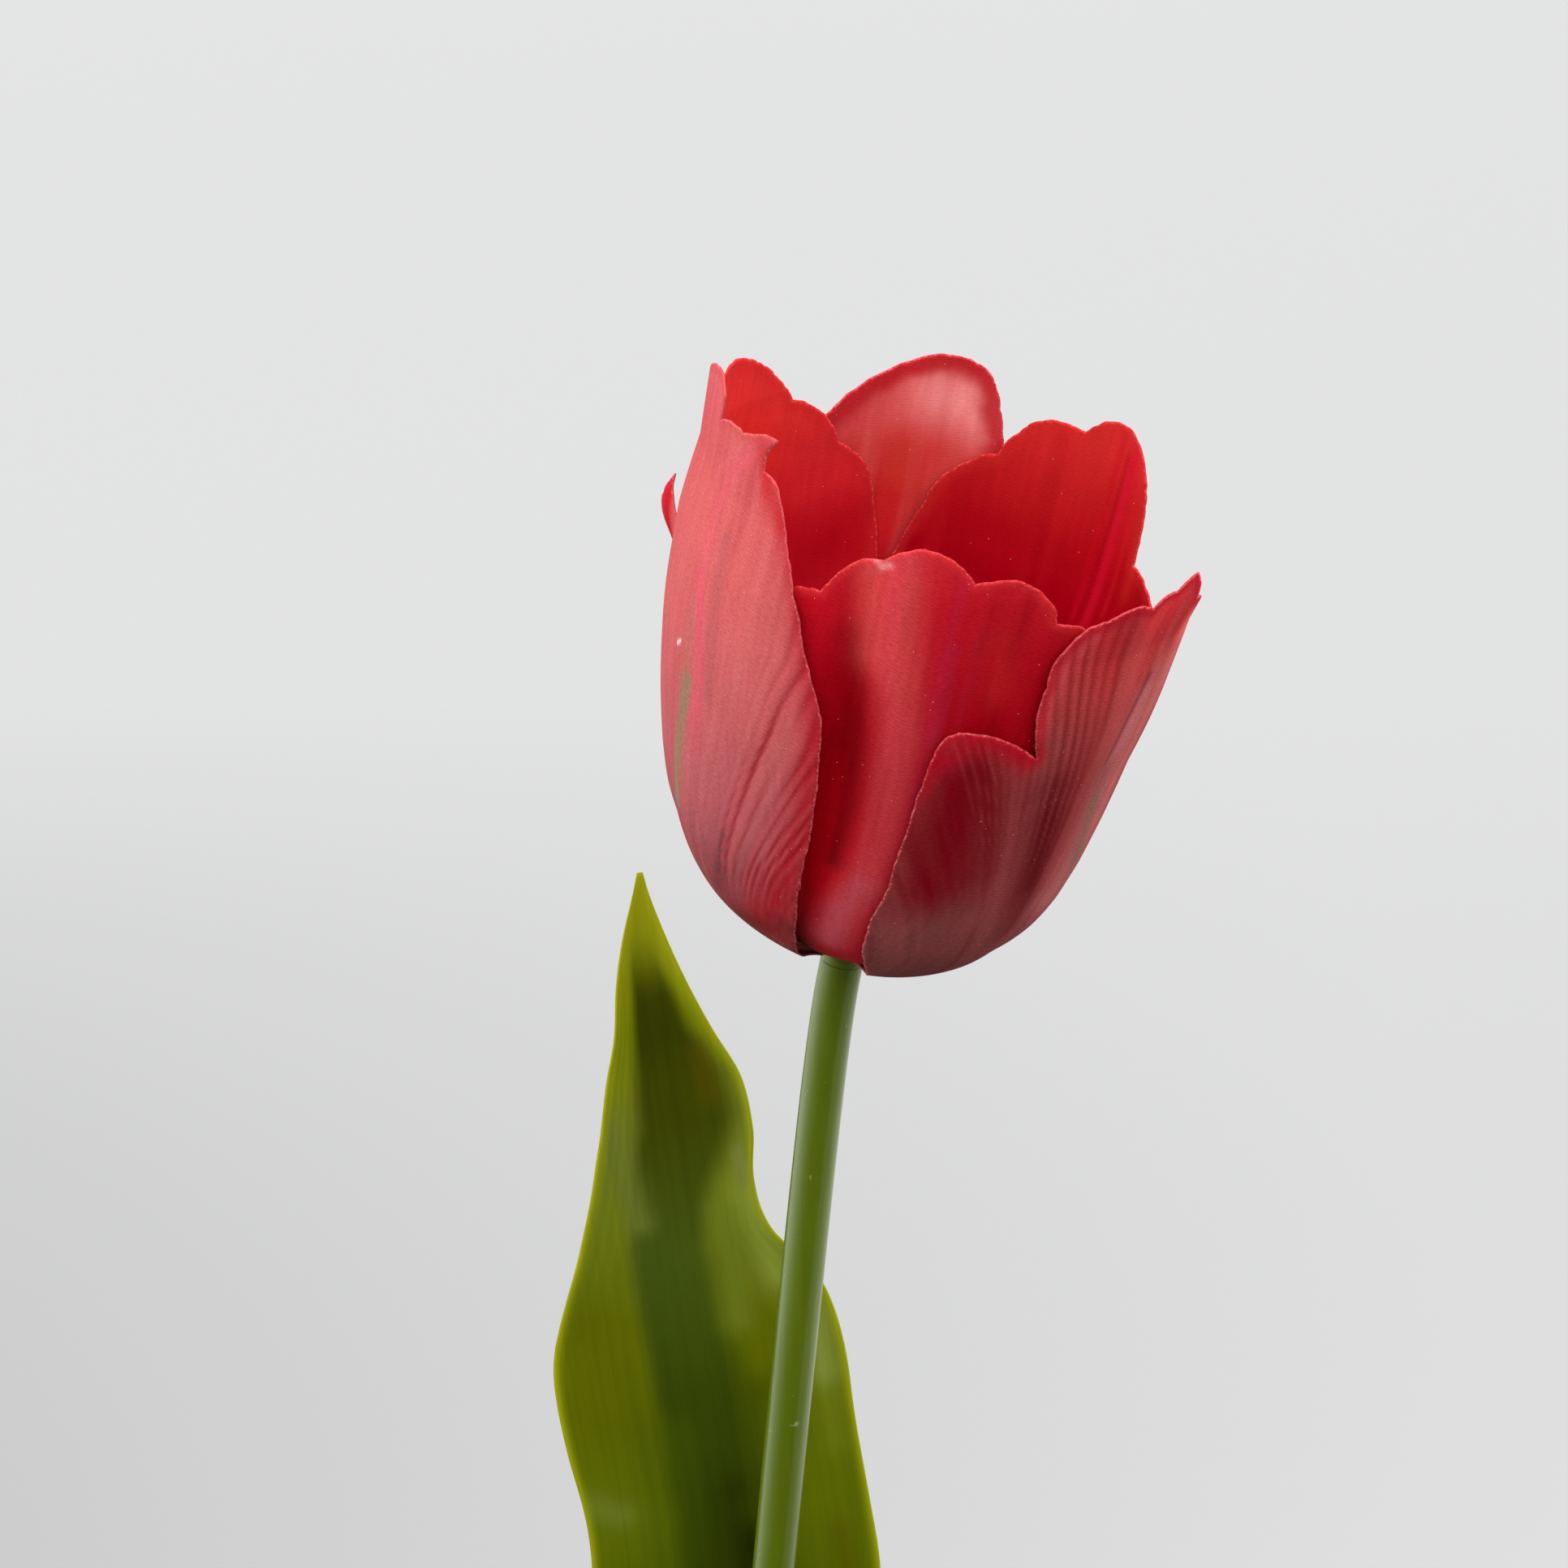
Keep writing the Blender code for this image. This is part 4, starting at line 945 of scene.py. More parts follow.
def thread_bands(tree, place, period, direction, distortion, detail_scale):
    """Wavering bands, one to a period."""
    return add(tree, "TexWave", {
        "Vector": place, "Scale": math.pi / 10 / period, "Distortion": distortion,
        "Detail": 2.0, "Detail Scale": detail_scale, "Detail Roughness": 0.6,
    }, wave_type="BANDS", bands_direction=direction).outputs[1]


def scattered(tree, place, scale, radius, channel, least, strength):
    """Small marks, one in each cell whose random value is above the least."""
    cells = add(tree, "TexVoronoi", {"Vector": place, "Scale": scale, "Randomness": 1.0},
                feature="F1")
    chosen = add(tree, "SeparateColor", {0: cells.outputs["Color"]}).outputs[channel]
    marks = calc(tree, "MULTIPLY", calc(tree, "LESS_THAN", cells.outputs["Distance"], radius),
                 calc(tree, "GREATER_THAN", chosen, least))
    return calc(tree, "MULTIPLY", marks, strength)


def cloth_colour(tree, place):
    """The stored colour, with its painted light and shade, under fine streaks, paler runs and
    clouds.
    """
    streaks = noise(tree, place, 1.0, (1.1, 0.09, 1), 4, 0.55)
    pale = noise(tree, place, 1.0, (1.6, 0.14, 1), 3, 0.55)
    cloud = noise(tree, place, 0.16)
    colour = stored(tree, "dye_and_light", "Color")
    for value, low, high, share, tint in (
        (streaks, 0.35, 0.75, 0.25, (0.72, 0.5, 0.54)),
        (pale, 0.5, 0.8, 0.14, (1.45, 1.7, 1.7)),
        (cloud, 0.3, 0.7, 0.14, (0.6, 0.5, 0.5)),
    ):
        colour = tinted(tree, colour, tint, value, low, high, share, "MULTIPLY")
    return colour


def cloth_weave(tree, place):
    """The height of the twill: its lines, the threads across them and their unevenness."""
    turned = add(tree, "Mapping", {"Vector": place, "Rotation": (0, 0, -TWILL_TURN)}).outputs[0]
    lines = thread_bands(tree, turned, TWILL_PERIOD, "Y", 2.2, 1.1)
    threads = thread_bands(tree, turned, THREAD_PERIOD, "DIAGONAL", 2.4, 1.5)
    grain = noise(tree, turned, 1.0, (1.3, 4.2, 1), 3, 0.6)
    weave = calc(tree, "MULTIPLY_ADD", lines, 0.4, calc(tree, "MULTIPLY", threads, 0.15))
    return calc(tree, "ADD", weave, spread_out(tree, grain, 0.3, 0.7, 0, 0.45))


def cloth_flecks(tree, place, colour):
    """The colour with dust and loose fibres on it."""
    dust = scattered(tree, place, 0.9, 0.058, 0, 0.72, 0.5)
    colour = mixed(tree, dust, colour, colour_of(244, 214, 206))
    combed = {"Vector": place, "Scale": (0.9, 0.22, 1), "Rotation": (0, 0, FIBRE_TURN)}
    lint = scattered(tree, add(tree, "Mapping", combed).outputs[0], 0.35, 0.03, 1, 0.8, 0.55)
    return mixed(tree, lint, colour, colour_of(250, 226, 220))


def cloth_material(name, through, rim_colour):
    """Polyester twill in its stored colours, with painted light and shade, painted shade and
    highlight on the weave, a frayed pale rim, dust and loose fibres. Places are in millimetres on
    the flat cut."""
    made, tree = graph(name)
    place = stored(tree, "flat", "Vector")
    thread = stored(tree, "thread")
    weave = cloth_weave(tree, place)
    # painted shade on the weave's low threads and painted highlight on its raised ones
    shaded = calc(tree, "MULTIPLY", thread, spread_out(tree, weave, 0.1, 0.6, 1, 0))
    colour = mixed(tree, shaded, cloth_colour(tree, place), (0.76, 0.62, 0.64), "MULTIPLY")
    lit = calc(tree, "MULTIPLY", thread, spread_out(tree, weave, 0.5, 1))
    colour = mixed(tree, lit, colour, (1.22, 1.42, 1.38), "MULTIPLY")
    colour = cloth_flecks(tree, place, colour)
    frayed = noise(tree, place, 2.3, (1, 1, 1), 3, 0.6)
    rim = spread_out(tree, stored(tree, "margin"), 0.24, 0.05)
    edge = calc(tree, "MULTIPLY", rim, spread_out(tree, frayed, 0.44, 0.6, 0.0, 0.85))
    colour = mixed(tree, edge, colour, rim_colour)

    fuzz = noise(tree, place, 5.0, (1, 0.5, 1), 3, 0.6)
    height = calc(tree, "MULTIPLY_ADD", weave, 0.7, calc(tree, "MULTIPLY", fuzz, 0.5))
    surface(tree, {
        "Base Color": colour,
        "Roughness": spread_out(tree, fuzz, 0.3, 0.7, 0.72, 0.92),
        "Specular IOR Level": 0.02,
        "Sheen Weight": 0.015,
        "Sheen Roughness": 0.45,
        "Sheen Tint": (1.0, 0.4, 0.4, 1),
        "Normal": bump(tree, height, 0.5, 0.00006),
    }, through, mixed(tree, 1.0, colour, (1.0, 0.55, 0.5), "MULTIPLY"))
    return made


def stem_material(name):
    """Moulded polyethylene, olive with a paler bloom, faint drag lines and dust."""
    made, tree = graph(name)
    place = object_place(tree)
    drag = noise(tree, place, 900, (1, 1, 0.05), 4, 0.6)
    cloud = noise(tree, place, 40, (1, 1, 0.35), 3, 0.55)
    spots = noise(tree, place, 700, detail=2)
    colour = tinted(tree, colour_of(67, 82, 0), colour_of(77, 93, 1), cloud, 0.3, 0.7)
    colour = tinted(tree, colour, colour_of(59, 73, 0), drag, 0.35, 0.7, 0.35)
    colour = tinted(tree, colour, colour_of(178, 184, 130), spots, 0.72, 0.8, 0.25)
    surface(tree, {
        "Base Color": colour,
        "Roughness": spread_out(tree, cloud, 0.3, 0.7, 0.25, 0.33),
        "Specular IOR Level": 0.42,
        "Normal": bump(tree, calc(tree, "MULTIPLY_ADD", cloud, 0.8, drag), 0.35, 0.0001),
    })
    return made


def leaf_material():
    """The leaf's softer plastic: olive, with painted shade and highlights in its stored colours, a
    little clear, with fine parallel veins.
    """
    made, tree = graph("moulded_leaf")
    place = stored(tree, "flat", "Vector")
    veins = noise(tree, place, 1.0, (1.1, 0.012, 1), 4, 0.6)
    cloud = noise(tree, place, 0.09, (1.6, 0.6, 1), 3, 0.55)
    grain = noise(tree, place, 3.0, detail=2)
    colour = tinted(tree, stored(tree, "dye_and_light", "Color"), (0.66, 0.74, 0.5), cloud, 0.32, 0.68,
                    0.22, "MULTIPLY")
    colour = tinted(tree, colour, (0.6, 0.66, 0.4), veins, 0.4, 0.7, 0.3, "MULTIPLY")
    surface(tree, {
        "Base Color": colour,
        "Roughness": spread_out(tree, grain, 0.3, 0.7, 0.42, 0.56),
        "Specular IOR Level": 0.02,
        "Normal": bump(tree, calc(tree, "MULTIPLY_ADD", grain, 0.25, veins), 0.35, 0.0001),
    }, 0.22, colour)
    return made


def plain_plastic(name, dark, pale, roughness, scale, grit=0.3):
    """Small moulded pieces: two mottled tones, a fine grain and a worn sheen."""
    made, tree = graph(name)
    place = object_place(tree)
    cloud = noise(tree, place, scale, (1, 1, 0.4), 4, 0.6)
    grain = noise(tree, place, scale * 9, (1, 1, 1), 3, 0.6)
    colour = tinted(tree, colour_of(*dark), colour_of(*pale), cloud, 0.3, 0.7)
    darker = tuple(0.6 * c for c in colour_of(*dark))
    surface(tree, {
        "Base Color": tinted(tree, colour, darker, grain, 0.6, 0.8, 0.4),
        "Roughness": spread_out(tree, grain, 0.3, 0.7, roughness - 0.08, roughness + 0.08),
        "Specular IOR Level": 0.3,
        "Normal": bump(tree, grain, grit, 0.00008),
    })
    return made


def wire_material():
    """Drawn steel with fine lines along it."""
    made, tree = graph("drawn_steel")
    drawn = noise(tree, object_place(tree), 2500, (1, 1, 0.02), 3, 0.6)
    surface(tree, {
        "Base Color": tinted(tree, colour_of(150, 150, 152), colour_of(186, 186, 188), drawn,
                             0.3, 0.7),
        "Metallic": 1.0,
        "Roughness": spread_out(tree, drawn, 0.3, 0.7, 0.3, 0.5),
        "Normal": bump(tree, drawn, 0.2, 0.00003),
    })
    return made


# Stem


def full_turn(count):
    """Evenly spread angles once round."""
    return 2 * math.pi * np.arange(count) / count


def mould_line(around, place, width, count=1):
    """1 at a place round a moulded piece, fading over the width, as often as the count."""
    return hump(np.angle(np.exp(1j * count * (around - place))), width)


def ring(centre, normal, radii):
    """A ring of points round the centre, square to the normal, starting towards +X."""
    normal = Vector(normal).normalized()
    first = (Vector((1, 0, 0)) - normal * normal.x).normalized()
    second = normal.cross(first)
    return [Vector(centre) + float(r) * (math.cos(a) * first + math.sin(a) * second)
            for a, r in zip(full_turn(len(radii)), radii)]


def skin(rings, closed=False):
    """Quads between rings of points. Closed joins the last ring to the first, else both are
    capped."""
    count = len(rings[0])
    points = [point for one in rings for point in one]
    faces = []
    for k in range(len(rings) if closed else len(rings) - 1):
        here, there = k * count, (k + 1) % len(rings) * count
        for j in range(count):
            nxt = (j + 1) % count
            faces.append((here + j, here + nxt, there + nxt, there + j))
    if not closed:
        faces.append(tuple(range(count))[::-1])
        faces.append(tuple(range(len(points) - count, len(points))))
    return points, faces


def stem_normal(share):
    """The stem's direction, which turns into the head's axis along the last part of the neck."""
    blend = max(0.0, (share - NECK_START) / (1 - NECK_START)) ** 3
    along = stem_direction(share).lerp(HEAD_TURN @ Vector((0, 0, 1)), blend)
    return along.normalized()


STEM_SIDES = 56
STEM_STEP = 1.6 * MM
STEM_DRAW_IN = 0.06 * MM  # leaves room for the waver and the seams in the full diameter
STEM_WAVER = 0.035 * MM
STEM_SEED = 5
SEAM_HEIGHT = 0.06 * MM
SEAM_PLACES = (1.9, -1.24)  # in radians from the right side towards the back
SEAM_WIDTH = 0.09
FOOT_ROUNDING = (0.4, 0.25 * MM)  # over this many millimetres the foot narrows by so much
LAST_RING = 0.04 * MM  # keeps the tube's shading level up to its end
WIRE_RINGS = 220
WIRE_SIDES = 12


def build_stem(finish, steel):
    """The moulded tube in one piece, with two parting seams, and the wire inside it."""
    top = 1 - (CORE_COLLAR_HEIGHT + 0.1 * FIT_GAP) / STEM_LENGTH
    count = int(top * STEM_LENGTH / STEM_STEP)
    around = full_turn(STEM_SIDES)
    seam = SEAM_HEIGHT * np.maximum(*(mould_line(around, p, SEAM_WIDTH) for p in SEAM_PLACES))
    rounded, narrowed = FOOT_ROUNDING
    rings = []
    for share in [*top * np.arange(count) / count, top - LAST_RING / STEM_LENGTH, top]:
        height = share * STEM_LENGTH / MM
        waver = STEM_WAVER * rough_noise(height / 14, around * 0.8, STEM_SEED)
        waver = waver * (1 - np.abs(np.linspace(-1, 1, STEM_SIDES)) ** 8)
        radii = STEM_DIAMETER / 2 - STEM_DRAW_IN + waver + seam
        if height < rounded:
            radii = radii - narrowed * (1 - height / rounded) ** 2
        rings.append(ring(stem_point(share), stem_normal(share), radii))
    tube = add_mesh("stem_tube", *skin(rings), finish)
    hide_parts("stem_sleeve", "stem_neck")
    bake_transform(tube)

    low = (STEM_END_WALL + FIT_GAP) / STEM_LENGTH
    radii = np.full(WIRE_SIDES, WIRE_DIAMETER / 2)
    rings = [ring(stem_point(share), stem_normal(share), radii)
             for share in np.linspace(low, 1, WIRE_RINGS)]
    wire = add_mesh("stem_core_wire", *skin(rings), steel)
    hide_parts("stem_wire")
    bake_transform(wire)


# Leaf


BLADE_ROWS = 300
BLADE_COLUMNS = 56
ROW_CROWDING = 0.95  # below 1, so the rows stand closer towards the tip
BLADE_VEINS = 8.5  # from the midrib to the edge
MIDRIB_STEP = 0.5  # in millimetres
RELIEF_SPAN = (8, 40, 190, 214)  # veins and waves grow and fade here, in millimetres along
VEIN_HEIGHT = 0.05  # these heights are in millimetres too
UNEVEN_HEIGHT = 0.10
KEEL_HEIGHT = 0.35
KEEL_WIDTH = 0.9
WAVE_HEIGHT = 1.1
THIN_EDGE = 0.55  # how much of its thickness the blade loses at its edges
FULL_WIDTH = 12 * MM  # where it is narrower than this, the blade is thinner too
TANGENT_STEPS = 8  # the midrib's direction is taken so far each way
LEAF_TABLE = smooth_curve(LEAF_SECTIONS, 680).T
GROUND_SEED, BAND_SEED, VEIN_SEED, WAVE_SEED = 31, 33, 11, 17

# The leaf's tints in display colours, some of them painted light and shade, at millimetres along
# it and across from its midrib. The dark band in its channel, partly the leaf's own darker middle
# and partly painted shade in the channel, has its middle and half width at each place along, and a
# stroke its strength, half width and the points it follows.
LEAF_GROUND = ((0, (64, 76, 2)), (118, (78, 90, 1)), (138, (90, 101, 3)), (150, (85, 92, 0)),
               (162, (90, 97, 2)), (174, (108, 118, 21)), (186, (112, 121, 33)),
               (198, (120, 128, 8)), (216, (140, 139, 20)))
LEAF_CHANNEL_BAND_AND_SHADE = ((0, -0.9, 6.4, (44, 56, 2)), (130, -0.9, 6.3, (45, 56, 2)),
             (150, -1.2, 6.0, (48, 61, 3)), (161, -1.9, 5.3, (58, 73, 10)),
             (170, -2.3, 4.8, (64, 79, 17)), (178, -0.8, 5.8, (62, 72, 9)),
             (186, 2.5, 7.2, (58, 64, 1)), (192, 2.0, 6.5, (57, 62, 1)),
             (198, 0.5, 4.2, (50, 56, 1)), (204, 0, 2.8, (54, 59, 1)),
             (212, -0.2, 1.3, (62, 68, 1)))
LEAF_STROKES = (
    ((64, 79, 2), 0.55, 4.0, ((-7.6, 20), (-7.8, 130), (-7, 146))),
    # painted shade, deepest low in the channel
    ((27, 34, 0), 0.95, 3.3, ((3.6, 60), (3.2, 124), (1.8, 138))),
    ((56, 68, 2), 0.7, 2.6, ((5.4, 150), (3.8, 142), (3, 136))),
    # painted highlights where the blade turns up towards the light
    ((126, 138, 48), 0.95, 2.6, ((8.4, 175), (9.4, 169), (10.4, 165))),
    ((100, 113, 28), 0.75, 2.1, ((4.6, 174), (4.8, 168), (4.4, 160))),
    # painted glint
    ((116, 122, 62), 0.75, 1.2, ((7.9, 181), (8.7, 177.5))),
    ((88, 72, 0), 0.45, 1.5, ((4.4, 195), (5.4, 189))),
    # painted highlight
    ((108, 118, 44), 0.7, 1.7, ((-7.6, 187), (-6.4, 180), (-5.4, 174))),
    ((104, 116, 38), 0.65, 1.9, ((-17, 139.4), (-13.5, 137.6))),
    ((80, 74, 0), 0.5, 1.8, ((13.4, 132), (14, 128))),
    ((106, 116, 18), 0.7, 2.6, ((14.6, 150), (14.8, 143))),
    ((124, 136, 54), 0.9, 2.4, ((13.8, 161), (14.6, 152))),
)
# a paler yellow-green rim, partly the thin plastic's own tint and partly painted light shining
# through it
LEAF_RIM = (148, 150, 12)


def leaf_colour_and_light(wide, length, margin):
    """The leaf's colours in linear light: ground, the dark band in its channel that is partly
    painted shade, marks among which are painted shade and highlights, and a rim partly lit through.
    """
    made = ramp(LEAF_GROUND, length + 4 * rough_noise(wide / 8, length / 16, GROUND_SEED))
    bent = wide + 0.9 * rough_noise(wide / 9, length / 14, BAND_SEED)
    # the dark band: partly the leaf's darker middle, partly painted shade in its channel
    places, centres, halves = np.array([row[:3] for row in LEAF_CHANNEL_BAND_AND_SHADE]).T
    apart = (bent - np.interp(length, places, centres)) / np.interp(length, places, halves)
    share = np.where(apart < 0, smooth(-1.18, -0.72, apart), smooth(1.3, 0.4, apart))
    made = laid(made, ramp(LEAF_CHANNEL_BAND_AND_SHADE, length), share * smooth(213, 202, length) * 0.97)
    for colour, strength, width, points in LEAF_STROKES:
        share = strength * stroke_share(points, bent, length, width)
        made = laid(made, linear(*colour), share)
    return laid(made, linear(*LEAF_RIM), 0.8 * hump(margin, 0.7))


def blade_frame(rib, share):
    """The midrib's point there, and the ways across the blade and towards its hollow side."""
    if share == 0:
        return Vector(rib[0]), Vector((1, 0, 0)), Vector((0, -1, 0))
    at = share * (len(rib) - 1)
    low = min(int(at), len(rib) - 2)
    centre = Vector(rib[low] + (rib[low + 1] - rib[low]) * (at - low))
    ahead = rib[min(low + TANGENT_STEPS, len(rib) - 1)]
    along = Vector(ahead - rib[max(low - TANGENT_STEPS, 0)]).normalized()
    across = (Vector((1, 0, 0)) - along * along.x).normalized()
    inwards = across.cross(along)
    if inwards.y > 0:
        inwards.negate()
    return centre, across, inwards


def blade_section(share):
    """The blade's widths left and right of its midrib there, and half its channel's angle."""
    shares, *columns = LEAF_TABLE
    left, right, angle = (float(np.interp(share, shares, column)) for column in columns)
    angle = math.radians(angle)
    if share == 0:
        left = right = LEAF_ROOT_RADIUS / MM * math.sin(angle)
    return left * MM, right * MM, angle


def blade_relief(steps, wide, length):
    """How far veins and wavy edges lift both faces, and the midrib's keel the front one."""
    start, full, fade, end = RELIEF_SPAN
    grown = float(smooth(start, full, length) * smooth(end, fade, length))
    veins = VEIN_HEIGHT * np.cos(2 * math.pi * steps * BLADE_VEINS) * grown
    veins += UNEVEN_HEIGHT * rough_noise(wide / 6, length / 30, VEIN_SEED) * grown
    keel = -KEEL_HEIGHT * hump(wide, KEEL_WIDTH) * grown
    wave = WAVE_HEIGHT * grown * np.abs(steps) ** 4
    wave = wave * rough_noise(np.sign(steps) * 3 + 7, length / 16, WAVE_SEED, 2)
    return (veins - wave) * MM, keel * MM


def blade_row(rib, share):
    """One cross section: its points, front face first, with their places on the flat leaf and
    how far each lies from the rim, in millimetres."""
    steps = np.linspace(-1, 1, BLADE_COLUMNS)
    centre, across, inwards = blade_frame(rib, share)
    left, right, angle = blade_section(share)
    thin = LEAF_THICKNESS / 2 * min(1, 0.35 + (left + right) / FULL_WIDTH)
    length = share * len(rib) * MIDRIB_STEP
    half = np.where(steps < 0, left, right) / MM
    lift, keel = blade_relief(steps, steps * half, length)
    bow = half * MM / math.sin(angle)
    edge = thin * (1 - THIN_EDGE * np.abs(steps) ** 3)
    points = []
    for order, radii in ((1, bow - edge + lift + keel), (-1, bow + edge + lift)):
        for a, b, r in list(zip(angle * steps, bow, radii))[::order]:
            points.append(centre + across * r * math.sin(a) + inwards * (b - r * math.cos(a)))
    flat = np.stack([steps * half, np.full(BLADE_COLUMNS, length), 0 * steps], axis=1)
    margin = (1 - np.abs(steps)) * half
    return points, np.vstack([flat, flat[::-1]]), np.concatenate([margin, margin[::-1]])


def build_leaf(finish):
    """A long channelled blade with parallel veins. Its foot wraps the back of the stem."""
    knots = [np.array(knot) * MM for knot in LEAF_MIDRIB]
    knots[0][1] = LEAF_ROOT_RADIUS
    rib = resample(smooth_curve(knots, 400), MIDRIB_STEP * MM)
    foot = COLLAR_CENTRE + COLLAR_TURN @ Vector((0, 0, COLLAR_LENGTH / 2))
    place = Matrix.Translation(foot) @ COLLAR_TURN.to_4x4()
    rows = [blade_row(rib, share) for share in np.linspace(0, 1, BLADE_ROWS) ** ROW_CROWDING]
    sections, flats, margins = zip(*rows)
    sections = [[place @ point for point in section] for section in sections]
    blade = add_mesh("leaf_long_blade", *skin(sections), finish)
    flat, margin = np.vstack(flats), np.concatenate(margins)
    dye_and_light = leaf_colour_and_light(flat[:, 0], flat[:, 1], margin)
    store(blade, "dye_and_light", np.hstack([dye_and_light, np.ones((len(flat), 1))]))
    store(blade, "flat", flat)
    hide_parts("leaf_blade")
    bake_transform(blade)


# Small moulded pieces


TURN_SIDES = 96
STAMEN_SIDES = 24
LEAST_RADIUS = 0.02 * MM
CORNER = 0.12 * MM
COLLAR_SHARES = (0.03, 0.2, 0.4, 0.6, 0.8, 0.97)  # where rings stand on each side of its section
CORE_SEAM = (0.05 * MM, 0.6, 0.16)  # height, and the place round it and width in radians
COLLAR_SEAM = (0.07 * MM, 0.4, 0.12)
CORE_FLUTES = 9
CORE_FLUTE_DEPTH = 0.06 * MM
CORE_FLUTE_START = 4 * MM
STIGMA_LOBES = 3
OVARY_FLUTE_DEPTH = 0.09 * MM
STIGMA_GRIT = 0.12 * MM
ANTHER_GRIT = 0.08 * MM
ANTHER_CLEFT = (0.3, 0.2, 0.5)
STAMEN_INSET = 0.6 * MM  # from the rim of the core's button
CORE_SEED, PISTIL_SEED, STAMEN_SEED, COLLAR_SEED = 61, 71, 80, 91


def two_lines(around, line):
    """The same line on opposite sides of a moulded piece, at its height."""
    height, place, width = line
    return height * mould_line(around, place, width, 2)


def eased(profile, rounds=2):
    """The profile with its corners cut back by a small step, as a mould leaves them."""
    points = [np.array(point, float) for point in profile]
    for step in (CORNER, CORNER / 3)[:rounds]:
        made = [points[0]]
        for before, here, after in zip(points, points[1:], points[2:]):
            for other in (before, after):
                way = other - here
                length = np.linalg.norm(way)
                made.append(here + way * min(step / length, 0.3))
        points = made + [points[-1]]
    return points


def lathe(name, profile, finish, texture, body, node, base, turn, closed=False):
    """A piece turned about Z, with a texture in metres from the turn, radius and height."""
    around = full_turn(TURN_SIDES)
    rings = []
    for radius, height in profile:
        r = radius + texture(around, radius, height) * min(1, radius / MM)
        r = np.maximum(r, LEAST_RADIUS)
        rings.append([base + turn @ Vector((x, y, height))
                      for x, y in zip(r * np.cos(around), r * np.sin(around))])
    piece = add_mesh(name, *skin(rings, closed), finish)
    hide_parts(node)
    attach(piece, body)


def build_core(finish):
    """Collar on the stem, cone through the claws, and the button that holds them down."""
    def texture(around, radius, height):
        flutes = -CORE_FLUTE_DEPTH * np.maximum(0, np.cos(CORE_FLUTES * around)) ** 6
        flutes = flutes * (height > CORE_FLUTE_START)
        grit = 0.02 * MM * rough_noise(around * 8, height / MM * 2, CORE_SEED, 2)
        flush = (STEM_DIAMETER / 2 - radius) * (height < -0.2 * MM)
        made = two_lines(around, CORE_SEAM) + flutes + grit + flush
        return made * (radius > STEM_DIAMETER / 3)

    lathe("head_core", eased(core_profile()), finish, texture, "head", "receptacle",
          HEAD_BASE, HEAD_TURN)


def build_pistil(finish):
    """A fluted ovary under a stigma of three lobes with a rough top."""
    foot = (CORE_BUTTON_HEIGHT + FIT_GAP + 0.4 * MM) / MM
    top = (CORE_BUTTON_HEIGHT + FIT_GAP + PISTIL_LENGTH) / MM

    def texture(around, radius, height):
        share = (height / MM - foot) / (top - foot)
        lobes = (0.12 + 0.1 * smooth(0.8, 0.9, share)) * np.cos(STIGMA_LOBES * around)
        lobes = lobes * (share > 0)
        flutes = -OVARY_FLUTE_DEPTH * np.abs(np.cos(STIGMA_LOBES / 2 * around)) ** 24
        flutes = flutes * smooth(0.05, 0.15, share)
        rough = STIGMA_GRIT * rough_noise(around * 9, height / MM * 5, PISTIL_SEED)
        return radius * lobes + flutes + rough * (0.12 + smooth(0.82, 0.88, share))

    knots = np.array(eased(pistil_profile(), 1))
    steps = [resample(part, 0.3 * MM)[:-1] for part in zip(knots[2:-1], knots[3:])]
    profile = [*knots[:2], *np.vstack([*steps, knots[-1:]])]
    lathe("three_lobed_pistil", profile, finish, texture, "head", "pistil",
          HEAD_BASE, HEAD_TURN)


def stamen_path():
    """A filament's way up from the core's rim: its reach from the axis, and its height."""
    foot_radius = CORE_BUTTON_RADIUS - STAMEN_INSET
    foot = CORE_BUTTON_HEIGHT - 0.3 * MM + FIT_GAP
    spread = PISTIL_RADIUS * STIGMA_SHARE + ANTHER_RADIUS + 1.4 * MM
    return smooth_curve((
        (foot_radius, foot),
        (foot_radius + 0.45 * (spread - foot_radius), foot + 0.16 * STAMEN_LENGTH),
        (spread - 0.3 * MM, foot + 0.5 * STAMEN_LENGTH),
        (spread + 0.5 * MM, foot + STAMEN_LENGTH),
    ), 90)


def build_stamen(number, finish):
    """A thin filament that carries a powdery anther of two long sacs."""
    turn = 2 * math.pi * (number - 0.5) / STAMENS
    outward = Vector((math.sin(turn), -math.cos(turn), 0))
    path = stamen_path()
    lengths = path_lengths(path)
    around = full_turn(STAMEN_SIDES)
    cleft = 1 - two_lines(around, ANTHER_CLEFT)
    rings = []
    for k, (reach, height) in enumerate(path):
        ahead = path[min(k + 1, len(path) - 1)] - path[max(k - 1, 0)]
        normal = (outward * ahead[0] + Vector((0, 0, ahead[1]))).normalized()
        side = normal.cross(outward).normalized()
        first = side.cross(normal)
        into = (lengths[k] - (lengths[-1] - ANTHER_LENGTH)) / ANTHER_LENGTH
        radii = np.full(STAMEN_SIDES, FILAMENT_RADIUS * (1.02 - 0.12 * lengths[k] / lengths[-1]))
        if into > 0:
            swell = max(0.0, math.sin(math.pi * min(into, 1))) ** 0.5
            grit = ANTHER_GRIT * rough_noise(around * 3, into * 40, STAMEN_SEED + number)
            radii = radii + swell * ((ANTHER_RADIUS - FILAMENT_RADIUS) * cleft + grit)
        if into > 0.985:
            radii = radii * 0.8
        centre = outward * reach + Vector((0, 0, height))
        spokes = (first * math.cos(a) + side * math.sin(a) for a in around.tolist())
        rings.append([HEAD_BASE + HEAD_TURN @ (centre + spoke * r)
                      for spoke, r in zip(spokes, radii.tolist())])
    piece = add_mesh(f"stamen_{number}_anther", *skin(rings), finish)
    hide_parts(f"stamen_{number}")
    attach(piece, "head")


